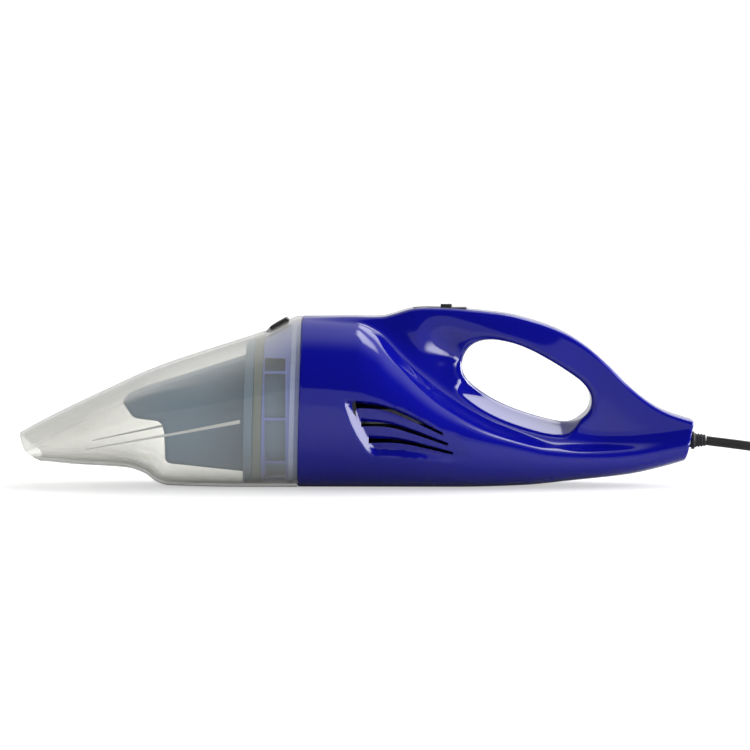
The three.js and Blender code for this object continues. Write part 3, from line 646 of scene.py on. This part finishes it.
def surface_net(field, low, high, step):
    """Vertices and quads on the zero surface of a field, drawn onto it by a few Newton steps."""
    axes = [np.arange(a, b + step, step) for a, b in zip(low, high)]
    grid = field(*np.meshgrid(*axes, indexing="ij"))
    inside = grid < 0
    corners = [(i, j, k) for i in (0, 1) for j in (0, 1) for k in (0, 1)]
    size = [n - 1 for n in grid.shape]
    count = sum(inside[i:i + size[0], j:j + size[1], k:k + size[2]].astype(np.int8) for i, j, k in corners)
    cells = np.argwhere((count > 0) & (count < 8))
    number = np.full(size, -1)
    number[tuple(cells.T)] = np.arange(len(cells))
    total = np.zeros((len(cells), 3))
    hits = np.zeros(len(cells))
    for start in corners:
        for axis in range(3):
            if start[axis]:
                continue
            a = grid[tuple((cells + start).T)]
            end = np.array(start)
            end[axis] = 1
            b = grid[tuple((cells + end).T)]
            crossed = (a < 0) != (b < 0)
            share = np.where(crossed, a / np.where(crossed, a - b, 1), 0)
            point = np.tile(np.array(start, float), (len(cells), 1))
            point[:, axis] = share
            total += point * crossed[:, None]
            hits += crossed
    points = np.array([a[0] for a in axes]) + step * (cells + total / hits[:, None])
    quads = net_quads(inside, number)
    for _ in range(NEWTON_ROUNDS):
        points = points - newton_step(field, points, step)
    return points, quads


def net_quads(inside, number):
    """One quad for each grid edge that the surface crosses, between the cells around it."""
    quads = []
    for axis in range(3):
        a, b = [n for n in range(3) if n != axis]
        first = np.moveaxis(inside, (axis, a, b), (0, 1, 2))
        table = np.moveaxis(number, (axis, a, b), (0, 1, 2))
        change = first[:-1, 1:-1, 1:-1] != first[1:, 1:-1, 1:-1]
        where = np.argwhere(change)
        i, j, k = where.T
        around = np.stack([table[i, j, k], table[i, j + 1, k], table[i, j + 1, k + 1], table[i, j, k + 1]], 1)
        flip = first[i, j + 1, k + 1] == (axis == 1)
        around[flip] = around[flip][:, ::-1]
        quads.append(around)
    return np.vstack(quads)


def newton_step(field, points, step):
    """The move that draws each point towards the surface, kept short."""
    e = NEWTON_STEP
    x, y, z = points.T
    value = field(x, y, z)
    slope = np.stack([(field(x + e, y, z) - field(x - e, y, z)) / (2 * e),
                      (field(x, y + e, z) - field(x, y - e, z)) / (2 * e),
                      (field(x, y, z + e) - field(x, y, z - e)) / (2 * e)], 1)
    move = value[:, None] * slope / np.maximum((slope ** 2).sum(1), 0.2)[:, None]
    length = np.linalg.norm(move, axis=1)
    return move * (np.minimum(length, NEWTON_REACH * step) / np.maximum(length, 1e-9))[:, None]


def relax(points, quads, share):
    """Evens out the mesh: each vertex moves towards the middle of its neighbours by its own share."""
    ends = np.vstack([quads[:, [a, (a + 1) % 4]] for a in range(4)])
    ends = np.vstack([ends, ends[:, ::-1]])
    count = np.maximum(np.bincount(ends[:, 0], minlength=len(points)), 1)[:, None]
    for _ in range(RELAX_ROUNDS):
        total = np.stack([np.bincount(ends[:, 0], points[ends[:, 1], k], len(points)) for k in range(3)], 1)
        points = points + share[:, None] * (total / count - points)
    return points


def valley_share(points):
    """Where the hull meets the handle in front of the finger hole."""
    x, y, z = points.T
    along = smooth_step(x, *VALLEY_START) * (1 - smooth_step(x, *VALLEY_END))
    upright = smooth_step(z - RECESS_TOP(x), *VALLEY_FOOT) * (1 - smooth_step(z, *VALLEY_TOP))
    return RELAX_SHARE * along * smooth_step(y, *VALLEY_SIDE) * upright


# ---- boolean cuts ----
def helper(name, vertices, faces):
    """A closed shape with its faces turned outwards, to cut with or to finish later."""
    obj = mesh_object(name, vertices, faces)
    shape = bmesh.new()
    shape.from_mesh(obj.data)
    bmesh.ops.recalc_face_normals(shape, faces=shape.faces)
    shape.to_mesh(obj.data)
    shape.free()
    return obj


def combine(obj, cutters, operation="DIFFERENCE"):
    """Cuts the cutters out of the object, or joins them on, and deletes them."""
    for cutter in cutters:
        step = obj.modifiers.new("cut", "BOOLEAN")
        step.operation = operation
        step.solver = "MANIFOLD"
        step.object = cutter
    apply_modifiers(obj)
    for cutter in cutters:
        bpy.data.objects.remove(cutter)
    return obj


def ring_faces(rings, count):
    """Quads between closed rings of the same count, with an end face on both ends."""
    faces = []
    for r in range(rings - 1):
        for i in range(count):
            j = (i + 1) % count
            faces.append((r * count + i, r * count + j, (r + 1) * count + j, (r + 1) * count + i))
    faces.append(tuple(reversed(range(count))))
    faces.append(tuple((rings - 1) * count + i for i in range(count)))
    return faces


def prism_y(outline, low, high):
    """A side outline in x and z made into a block between two y."""
    vertices = [(x, y, z) for y in (low, high) for x, z in outline]
    return helper("prism", vertices, ring_faces(2, len(outline)))


def prism_z(outline, low, high):
    vertices = [(x, y, z) for z in (low, high) for x, y in outline]
    return helper("prism", vertices, ring_faces(2, len(outline)))


def round_outline(low, high, radius, per_corner=5):
    """A rectangle with rounded corners."""
    points = []
    for cx, cy, start in ((high[0] - radius, high[1] - radius, 0), (low[0] + radius, high[1] - radius, 90),
                          (low[0] + radius, low[1] + radius, 180), (high[0] - radius, low[1] + radius, 270)):
        for i in range(per_corner + 1):
            angle = math.radians(start + 90 * i / per_corner)
            points.append((cx + radius * math.cos(angle), cy + radius * math.sin(angle)))
    return points


LATHE_SHARP = 35


def lathe(name, profile, centre, material, segments=64):
    """A profile of (radius, x) turned about the line along x through the centre."""
    profile = np.array(profile, float)
    angles = 2 * math.pi * np.arange(segments) / segments
    r, along = profile[:, 0, None], profile[:, 1, None] + 0 * angles
    points = np.stack([along, r * np.cos(angles), r * np.sin(angles)], 2) + np.array(centre)
    obj = helper(name, points.reshape(-1, 3), ring_faces(len(profile), segments))
    obj.data.materials.append(material)
    shade(obj, LATHE_SHARP)
    return obj


ROD_SIDES = 32


def circle(radius):
    angles = np.linspace(0, 2 * math.pi, ROD_SIDES + 1)[:-1]
    return [(radius * math.cos(a), radius * math.sin(a)) for a in angles]


def rod_y(x, z, radius, low, high):
    return prism_y([(x + p, z + q) for p, q in circle(radius)], low, high)


def rod_x(y, z, radius, low, high):
    vertices = [(x, y + p, z + q) for x in (low, high) for p, q in circle(radius)]
    return helper("rod", vertices, ring_faces(2, ROD_SIDES))


# ---- the body's two halves ----
BODY_STEP = 1.1
BODY_BOX = ((-36.7, -3.15, -1.2), (202.2, 53.0, 108.0))
BODY_SHARP = 32
SCREW_HOLE, SCREW_REACH = 1.75, (-9.3, 12.0)
SCREW_WELL, SCREW_SEAT = 3.3, 6.7
TAIL_BORE = 4.5
SWITCH_RECESS = (((34, -7.3), (66.2, 7.3), 2.5), (103.9, 112))
SWITCH_OPENING = (((37, -5.3), (63, 5.3), 1), (95, 112))
SEAM_CUT = 8.0
PAST_BODY = 60.0
VENT_SLOTS = [((-1, 51.7), (19, 49), (51, 34.2), 5.2), ((3.2, 41), (23, 39), (54, 28), 5.2),
              ((7.6, 31), (27, 30), (57, 22.7), 5)]
VENT_STEPS = 12
VENT_NARROWING = 0.66
LOUVRE_DEPTH, LOUVRE_FADE = 2.4, 0.3
LOUVRE_SHARE = 0.42
VENT_CLEAR, VENT_THROUGH, LOUVRE_START = 8.0, 9.0, 0.05
SURFACE_SEARCH, SURFACE_HALVINGS = (16.0, 70.0), 26


def surface_y(x, z):
    """Where the right side's surface is at a place in the side view."""
    low, high = (np.full(x.shape, y) for y in SURFACE_SEARCH)
    for _ in range(SURFACE_HALVINGS):
        middle = (low + high) / 2
        out = body_distance(x, middle, z) > 0
        low, high = np.where(out, low, middle), np.where(out, middle, high)
    return low


def vent_cutters(start, middle, end, width):
    """A shallow slanting face along the slot's upper part, and the open gap under it."""
    line = smooth_path([start, middle, end], VENT_STEPS)
    share = np.linspace(0, 1, len(line))
    half = width / 2 * (1 - VENT_NARROWING * share)
    sunk = LOUVRE_DEPTH * (1 - LOUVRE_FADE * share)
    x, z = line.T
    levels = {"top": z + half, "lip": z + half - 2 * half * LOUVRE_SHARE, "foot": z - half}
    depth = {key: surface_y(x, level) for key, level in levels.items()}
    clear, through = VENT_CLEAR, -VENT_THROUGH
    slope = [("top", clear), ("top", LOUVRE_START), ("lip", -sunk), ("foot", -sunk), ("foot", clear)]
    gap = [("lip", clear), ("lip", through), ("foot", through), ("foot", clear)]
    cutters = []
    for ring in (slope, gap):
        points = np.stack([np.stack([x, depth[key] + out, levels[key]], 1) for key, out in ring], 1)
        cutters.append(helper("vent", points.reshape(-1, 3), ring_faces(len(x), len(ring))))
    return cutters


def switch_cutters():
    """The recess that the switch plate sits in, and the opening under it."""
    return [prism_z(round_outline(*outline), *levels) for outline, levels in (SWITCH_RECESS, SWITCH_OPENING)]


def side_cutters(side):
    """What is cut out of one half: vents, spare past the seam, switch, lead's bore and screw holes."""
    vents = [cutter for slot in VENT_SLOTS for cutter in vent_cutters(*slot)]
    if side < 0:
        for cutter in vents:
            cutter.data.transform(Matrix.Diagonal((1, -1, 1, 1)))
            cutter.data.flip_normals()
    low, high = sorted((side * GAP / 2, -side * SEAM_CUT))
    holes = [rod_y(x, z, SCREW_HOLE, *SCREW_REACH) for x, z in SCREWS]
    wells = [rod_y(x, z, SCREW_WELL, SCREW_SEAT, PAST_BODY) for x, z in SCREWS] if side > 0 else []
    seam = box_cutter((-60, low, -20), (240, high, 130))
    return [*vents, seam, *switch_cutters(), rod_x(0, RELIEF_Z, TAIL_BORE, 190, 210), *holes, *wells]


def make_body(materials):
    points, quads = surface_net(shell_distance, *BODY_BOX, BODY_STEP)
    points = relax(points, quads, valley_share(points))
    for side, node in ((1, "right_shell"), (-1, "left_shell")):
        faces = quads if side > 0 else quads[:, ::-1]
        half = shown_object(node + "_fine", points * (1, side, 1), faces, materials["body_blue"])
        combine(half, side_cutters(side))
        shade(half, BODY_SHARP)
        place(half, "root", "body_blue", node)


# ---- lofted pieces in the hull's section ----
UPPER_STEPS = 30
LOWER_STEPS = 20
SHOULDER_SHARE = 2 / 3
FACET_POWER = 1.6
TUBE_CLEAR = 3.0


def hull_section(x, inset):
    """One closed cross-section as arrays of y and z."""
    top, bottom = hull_top(x) - inset, hull_bottom(x) + inset
    half, middle = hull_half(x) - inset, hull_middle(x)
    corner_y, corner_z = half * SHOULDER_Y, shoulder_z(x) - inset
    t = np.linspace(0, 1, UPPER_STEPS + 1)
    turn = t * math.pi / 2
    s = t / SHOULDER_SHARE
    u = (t - SHOULDER_SHARE) / (1 - SHOULDER_SHARE)
    over = t < SHOULDER_SHARE
    side_y = corner_y + (half - corner_y) * np.sin(np.maximum(u, 0) * math.pi / 2)
    facet_y = np.where(over, corner_y * s, side_y)
    facet_z = np.where(over, top - (top - corner_z) * s ** FACET_POWER, corner_z - (corner_z - middle) * u)
    blend = shoulder_blend(x)
    upper_y = half * np.sin(turn) * (1 - blend) + facet_y * blend
    upper_z = (middle + (top - middle) * np.cos(turn)) * (1 - blend) + facet_z * blend
    turn = np.linspace(0, 1, LOWER_STEPS + 1)[1:] * math.pi / 2
    lower_y = half * np.maximum(np.cos(turn), 0) ** (2 / LOWER_POWER)
    lower_y[-1] = 0
    lower_z = middle - (middle - bottom) * np.sin(turn) ** (2 / LOWER_POWER)
    y, z = np.append(upper_y, lower_y), np.append(upper_z, lower_z)
    return np.append(y, -y[-2:0:-1]), np.append(z, z[-2:0:-1])


def hull_loft(stations, inset):
    rings = []
    for x in stations:
        y, z = hull_section(x, inset)
        rings.append(np.stack([x + lean_at(x) * (z - LEAN_CENTRE_Z), y, z], 1))
    return helper("loft", np.vstack(rings), ring_faces(len(rings), len(rings[0])))


def stations_between(low, high, step):
    return np.linspace(low, high, max(2, int((high - low) / step) + 1))


def hull_tube(low, high, outer, inner, step):
    """A ring of the hull's section between two insets, flat under the ground plane."""
    ring = hull_loft(stations_between(low, high, step), outer)
    hollow = hull_loft(stations_between(low - TUBE_CLEAR, high + TUBE_CLEAR, step), inner)
    return combine(ring, [hollow, ground_cutter()])


def straight_run(at, low, high, inset):
    y, z = hull_section(at, inset)
    rings = [np.stack([np.full(len(y), x), y, z], 1) for x in (low, high)]
    return helper("run", np.vstack(rings), ring_faces(2, len(y)))


def straight_tube(at, low, high, outer, inner):
    """A tube of one section, so that the filter can slide out forwards."""
    hollow = straight_run(at, low - TUBE_CLEAR, high + TUBE_CLEAR, inner)
    return combine(straight_run(at, low, high, outer), [hollow])


def ground_cutter():
    return box_cutter((-230, -80, -20), (230, 80, 0))


def box_cutter(low, high):
    corners = [(low[0], low[1]), (high[0], low[1]), (high[0], high[1]), (low[0], high[1])]
    return prism_z(corners, low[2], high[2])


def finish_piece(obj, name, materials, slot, body, nodes=(), sharp_angle=35, look=None):
    """Names a cut piece, gives it its slot's material, or another look in that slot, and places it."""
    obj.name = name
    obj.data.name = name
    obj.data.materials.clear()
    obj.data.materials.append(materials[look or slot])
    shade(obj, sharp_angle)
    return place(obj, body, slot, *nodes)


def soften(obj, width, segments, angle):
    """Rounds the edges a little, as moulding does."""
    bevel = obj.modifiers.new("round", "BEVEL")
    bevel.width = width * MM
    bevel.segments = segments
    bevel.limit_method = "ANGLE"
    bevel.angle_limit = math.radians(angle)
    return apply_modifiers(obj)


# ---- clear bowl ----
MOUTH = [(-230, 60), (-200, 60), (-200, 31), (-195.9, 23.7), (-185.3, 14.9), (-183, 0), (-230, 0)]
BUTTON_SLOT = ((-54.2, -8.0, 84), (-38.4, 8.0, 112))
BUTTON_PIN = (-51.4, 92.6)
PIN_HOLE = (1.3, -10.0, 10.0)
BOWL_FRONT, BOWL_REAR, BOWL_STEP = -203.0, JOINT_X - GAP, 2.0
BOWL_HOLLOW = (-206.0, -25.0)
BOWL_SHARP = 16

# The guide rib inside each side of the bowl: its two ends in x and z, and its height at each.
RIB_ENDS = ((-159.0, 23.8), (-67.5, 41.5))
RIB_HEIGHTS = (0.5, 2.2)
RIB_DEPTH, RIB_OVERLAP = 1.8, 0.2
RIB_STEPS = 24


def bowl_rib(side):
    """A straight bar along the inside of the wall, growing higher to the rear."""
    rings = []
    for share in np.linspace(0, 1, RIB_STEPS):
        x, z = (np.array(RIB_ENDS[0]) * (1 - share) + np.array(RIB_ENDS[1]) * share)
        half = 0.5 * (RIB_HEIGHTS[0] * (1 - share) + RIB_HEIGHTS[1] * share)
        y, level = hull_section(x, 0)
        right = slice(0, UPPER_STEPS + LOWER_STEPS + 1)
        wall = float(np.interp(z, level[right][::-1], y[right][::-1]))
        near, far = wall - BOWL_WALL - RIB_DEPTH, wall - BOWL_WALL + RIB_OVERLAP
        corners = ((near, z - half), (far, z - half), (far, z + half), (near, z + half))
        rings.append([(x, side * b, c) for b, c in corners])
    return helper("rib", np.vstack(rings), ring_faces(len(rings), 4))


def make_bowl(materials):
    outer = hull_loft(stations_between(BOWL_FRONT, BOWL_REAR, BOWL_STEP), 0)
    inner = hull_loft(stations_between(*BOWL_HOLLOW, BOWL_STEP), BOWL_WALL)
    mouth = prism_y(MOUTH, -PAST_BODY, PAST_BODY)
    pin_hole = rod_y(*BUTTON_PIN, *PIN_HOLE)
    bowl = combine(outer, [inner, mouth, ground_cutter(), box_cutter(*BUTTON_SLOT), pin_hole])
    # The guide ribs take the pale look whose white is a painted highlight.
    for side in (1, -1):
        finish_piece(bowl_rib(side), "bowl_guide_rib", materials, "clear_bowl", "bowl", look="rib_painted_highlight")
    finish_piece(bowl, "bowl_moulding", materials, "clear_bowl", "bowl", ["dust_bowl"], BOWL_SHARP)


# Tubes of the hull's section: front, rear, outer inset, inner inset and step.
SKIRT_TUBE = (-54.8, -20, 3.4, 5.4, 1.5)
SEAL_TUBE = (-38.6, -35.8, 2.5, 3.15, 0.7)
LIP_TUBE = (-59.8, -55.1, 2.7, 6.5, 1.0)
SKIRT_WINDOWS = [(4.4, 16.1), (17.6, 42.1), (43.6, 69.1), (70.5, 77.7)]
SKIRT_SIDES = [(-60, -16), (16, 60)]
SKIRT_NOTCH = ((-56, -9, 80), (-37.5, 9, 110))


def make_skirt(materials):
    """The ring that the bowl slides over, with its windows and the notch for the button."""
    skirt = hull_tube(*SKIRT_TUBE)
    windows = [box_cutter((-53.3, near, low), (-41.1, far, high))
               for low, high in SKIRT_WINDOWS for near, far in SKIRT_SIDES]
    combine(skirt, [*windows, box_cutter(*SKIRT_NOTCH)])
    finish_piece(skirt, "skirt_moulding", materials, "skirt_blue", "root", ["front_skirt"])


def make_seals(materials):
    ring = hull_tube(*SEAL_TUBE)
    finish_piece(ring, "joint_ring", materials, "pale_rubber", "root", ["bowl_seal"])
    lip = hull_tube(*LIP_TUBE)
    finish_piece(lip, "filter_lip", materials, "seal_grey", "filter", ["filter_seal"])


# ---- filter ----
BASKET = [(-138.4, 52.6), (-131.2, 41.8), (-114.6, 39.6), (-113, 33.1), (-112.4, 15.2), (-64, 10),
          (-64, 76.8), (-125.4, 57.4)]
COLLAR_AT = -62.0
COLLAR = (-61.5, -40.5)
COLLAR_INSETS = (6.9, 8.6)
BASKET_HALF, BASKET_WALL, BASKET_ROUND = 27.0, 2.0, 3.2
RIM_STATIONS, RIM_INSET = (-65.4, -60.2, 1.3), 2.7
SLOT_ROWS, SLOT_COLUMNS = (24, 54), (-18, -6, 6, 18)


def inset_outline(points, inset):
    """A closed outline drawn in by the same distance everywhere."""
    p = np.array(points, float)
    if np.cross(p, np.roll(p, -1, axis=0)).sum() < 0:
        p = p[::-1]
    ahead = np.roll(p, -1, axis=0) - p
    normal = np.stack([-ahead[:, 1], ahead[:, 0]], 1) / np.linalg.norm(ahead, axis=1)[:, None]
    before = np.roll(normal, 1, axis=0)
    shift = normal + before
    return p + inset * shift / (0.5 * (shift ** 2).sum(1))[:, None]


def make_filter(materials):
    """The basket with its rim, intake slots and rear collar."""
    basket = soften(prism_y(BASKET, -BASKET_HALF, BASKET_HALF), BASKET_ROUND, 4, 20)
    combine(basket, [hull_loft(stations_between(*RIM_STATIONS), RIM_INSET)], "UNION")
    inner = BASKET_HALF - BASKET_WALL
    hollow = prism_y(inset_outline(BASKET, BASKET_WALL), -inner, inner)
    way = box_cutter((-70, -24, 14), (-55, 24, 70))
    slots = [box_cutter((-122, y - 4, z - 8), (-108, y + 4, z - 2)) for z in SLOT_ROWS for y in SLOT_COLUMNS]
    combine(basket, [hollow, way, *slots])
    combine(basket, [straight_tube(COLLAR_AT, *COLLAR, *COLLAR_INSETS)], "UNION")
    finish_piece(basket, "filter_carrier", materials, "filter_grey", "filter", ["filter_frame"], 30)


# ---- button, switch, boot, plug and the coil's tie ----
BUTTON_SIDE = [(-53.4, 91.6), (-50.4, 94.9), (-46, 97.5), (-41.4, 100), (-39.4, 98.6), (-40.4, 95.2),
               (-49, 91.4), (-52.5, 90.8)]
BUTTON_TOP = [(-50.4, 94.9), (-46.0, 97.5), (-41.4, 100.0)]
BUTTON_HALF = 7.5
BUTTON_GROOVES = np.arange(-49, -42, 1.5)
GROOVE_RADIUS, GROOVE_LIFT = 0.45, 0.15
SWITCH_REAR, SWITCH_TRAVEL = 57.2, 7.0
KNOB_LENGTH, KNOB_CLEAR = 7.0, 0.4
KNOB_GROOVES = (1.6, 2.9, 4.1, 5.4)
BOOT = [(5.4, 190.8), (5.6, 191), (5.6, 192.5), (5.4, 192.7), (4.2, 192.7), (4.2, 199.6), (5.1, 199.6),
        (5.3, 199.9), (5.3, 201), (5.1, 201.3), (4.3, 201.7), (4.2, 202.6), (3.7, 202.8), (3.7, 203.3),
        (4.1, 203.5), (4, 204.4), (3.5, 204.6), (3.5, 205.1), (3.9, 205.3), (3.7, 206.2), (3.3, 206.4),
        (3.3, 206.9), (3.6, 207.1), (3.3, 208)]
PLUG_SHELL = [(9, 262.9), (9.4, 263.3), (10.4, 272), (10.4, 284), (11.3, 286.6), (12.2, 290), (12.2, 297),
              (11.6, 299.2), (9.4, 304.4), (9, 305)]
PLUG_HOLLOW = [(3.6, 260), (3.6, 266.5), (8, 266.5), (8, 297), (5, 301), (5, 308)]
PLUG_NOSE = [(6, 256), (6.4, 256.3), (8.5, 258.3), (8.7, 258.8), (9.2, 262.2), (9, 262.5)]
PLUG_TIP = [(0.7, 248.6), (1.5, 248.8), (2.2, 249.6), (2.7, 250.8), (2.8, 251.6), (2.8, 266.9), (4.8, 266.9),
            (5, 267.1), (5, 268), (4.8, 268.2)]
PLUG_BOOT = [(4.6, 302), (4.6, 305.3), (6.6, 305.3), (6.8, 305.6), (6.3, 308.8), (5.9, 310.6), (5.2, 310.8),
             (5.2, 311.6), (5.7, 311.8), (5.4, 314), (4.8, 314.2), (4.8, 315), (5.2, 315.2), (4.9, 317.4),
             (4.4, 317.6), (4.4, 318.4), (4.7, 318.6), (4.4, 320.8), (4, 321), (4, 321.8), (4.2, 322),
             (3.9, 325)]
PLUG_TURNED = [("plug_nose", PLUG_NOSE, "root", "red_plastic", "plug_nose_cap"),
               ("plug_tip_fine", PLUG_TIP, "plug_tip", "nickel", "plug_tip_pin"),
               ("plug_boot", PLUG_BOOT, "root", "black_rubber", "plug_sleeve")]
PLUG_INSIDES = ("plug_spring", "plug_fuse", "plug_contact_near", "plug_contact_far")
SHELL_SEGMENTS, PLUG_SHARP = 72, 35
PLUG_WINDOW, PLUG_WINDOW_HALF = (270, 283), 2.4
PLUG_BORE = 3.3
GRIP_COUNT, GRIP_AT, GRIP_RADIUS = 24, 12.6, 0.9
TIE_HALF, TIE_IN, TIE_OUT, TIE_TOP = 2.5, 24.6, 45.3, 24.0
TIE_THICKNESS, TIE_LIFT, TIE_SOLE = 0.2, 0.02, 0.16


def make_button(materials):
    """The release button, with grooves across its slope and the hole for its pin."""
    button = soften(prism_y(BUTTON_SIDE, -BUTTON_HALF, BUTTON_HALF), 0.7, 3, 20)
    x_top, z_top = zip(*BUTTON_TOP)
    levels = np.interp(BUTTON_GROOVES, x_top, z_top) + GROOVE_LIFT
    grooves = [rod_y(x, z, GROOVE_RADIUS, -6, 6) for x, z in zip(BUTTON_GROOVES, levels)]
    combine(button, [*grooves, rod_y(*BUTTON_PIN, *PIN_HOLE)])
    finish_piece(button, "button_moulding", materials, "black_plastic", "button", ["bowl_release_button"])


def block(low, high, radius, soft):
    """A block with rounded upright corners and softened edges."""
    return soften(prism_z(round_outline(low[:2], high[:2], radius, 6), low[2], high[2]), soft, 3, 40)


def make_switch(materials):
    """The plate with its slot, and the ribbed knob on its wider foot."""
    plate = block((34.3, -7, 104.2), (65.9, 7, 105.9), 1.6, 0.35)
    knob_front = SWITCH_REAR - KNOB_LENGTH
    slot_front = knob_front - SWITCH_TRAVEL - KNOB_CLEAR
    combine(plate, [box_cutter((slot_front, -3.3, 100), (SWITCH_REAR + KNOB_CLEAR, 3.3, 110))])
    finish_piece(plate, "switch_plate_fine", materials, "black_plastic", "root", ["switch_plate"])
    knob = block((knob_front, -3, 102.6), (SWITCH_REAR, 3, 108), 1.2, 0.8)
    foot = block((knob_front - 2, -4.6, 102.2), (SWITCH_REAR + 2, 4.6, 103.8), 1, 0.2)
    combine(knob, [foot], "UNION")
    combine(knob, [rod_y(SWITCH_REAR - back, 108.1, GROOVE_RADIUS, -5, 5) for back in KNOB_GROOVES])
    finish_piece(knob, "switch_knob", materials, "black_plastic", "slider", ["switch_slider"])


def make_boot(materials):
    boot = lathe("cord_boot", BOOT, (0, 0, RELIEF_Z), materials["black_rubber"])
    return place(boot, "root", "black_rubber", "strain_relief")


def plug_lathe(name, profile, material, segments=64):
    return lathe(name, profile, (0, PLUG_Y, PLUG_Z), material, segments)


def plug_box(x_range, half_width, z_range):
    """A box given from the plug's axis."""
    return box_cutter((x_range[0], PLUG_Y - half_width, PLUG_Z + z_range[0]),
                      (x_range[1], PLUG_Y + half_width, PLUG_Z + z_range[1]))


def plug_half(node, other_half, materials):
    """One half of the plug's housing: hollow, with side windows and grip grooves at the rear."""
    half = plug_lathe(node + "_fine", PLUG_SHELL, materials["black_plastic"], SHELL_SEGMENTS)
    hollow = plug_lathe("hollow", PLUG_HOLLOW, materials["black_plastic"])
    windows = plug_box(PLUG_WINDOW, 20, (-PLUG_WINDOW_HALF, PLUG_WINDOW_HALF))
    grips = [rod_x(PLUG_Y + GRIP_AT * math.cos(a), PLUG_Z + GRIP_AT * math.sin(a), GRIP_RADIUS, 288, 299)
             for a in 2 * math.pi * np.arange(GRIP_COUNT) / GRIP_COUNT]
    combine(half, [hollow, windows, plug_box((250, 320), 20, other_half), *grips])
    shade(half, PLUG_SHARP)
    return place(half, "root", "black_plastic", node)


def make_plug(materials):
    """The plug's outer pieces; its fuse, spring and contacts are shown as designed."""
    upper = plug_half("plug_upper_half", (-20, GAP / 2), materials)
    lower = plug_half("plug_lower_half", (-GAP / 2, 20), materials)
    turned = []
    for name, profile, body, slot, node in PLUG_TURNED:
        piece = plug_lathe(name, profile, materials[slot])
        turned.append(place(piece, body, slot, node))
    combine(turned[0], [rod_x(PLUG_Y, PLUG_Z, PLUG_BORE, 250, 270)])
    shade(turned[0], PLUG_SHARP)
    return [upper, lower, *turned]


def make_tie(materials):
    """A strap round the coil's strands on its outer side."""
    near, far = COIL_X + TIE_IN, COIL_X + TIE_OUT
    outside = round_outline((near, TIE_LIFT), (far, TIE_TOP), 2.2)
    inner_top = TIE_TOP - TIE_THICKNESS
    inside = round_outline((near + TIE_THICKNESS, TIE_SOLE), (far - TIE_THICKNESS, inner_top), 2)
    tie = prism_y(outside, COIL_Y - TIE_HALF, COIL_Y + TIE_HALF)
    combine(tie, [prism_y(inside, COIL_Y - 2 * TIE_HALF, COIL_Y + 2 * TIE_HALF)])
    return finish_piece(tie, "coil_tie", materials, "black_plastic", "root")


# ---- build ----
materials = make_materials()
make_camera()
make_stage()
cord, cord_path = make_cord(materials)
for entry in frame["record"]["subparts"]:
    node = frame["nodes"][entry["node"]]
    node.data.materials.clear()
    node.data.materials.append(materials[entry["material_slot"]])
make_body(materials)
make_bowl(materials)
make_skirt(materials)
make_seals(materials)
make_filter(materials)
make_button(materials)
make_switch(materials)
cord_pieces = [make_boot(materials), make_tie(materials), *make_plug(materials)]
cord_pieces += [frame["nodes"][name] for name in PLUG_INSIDES]
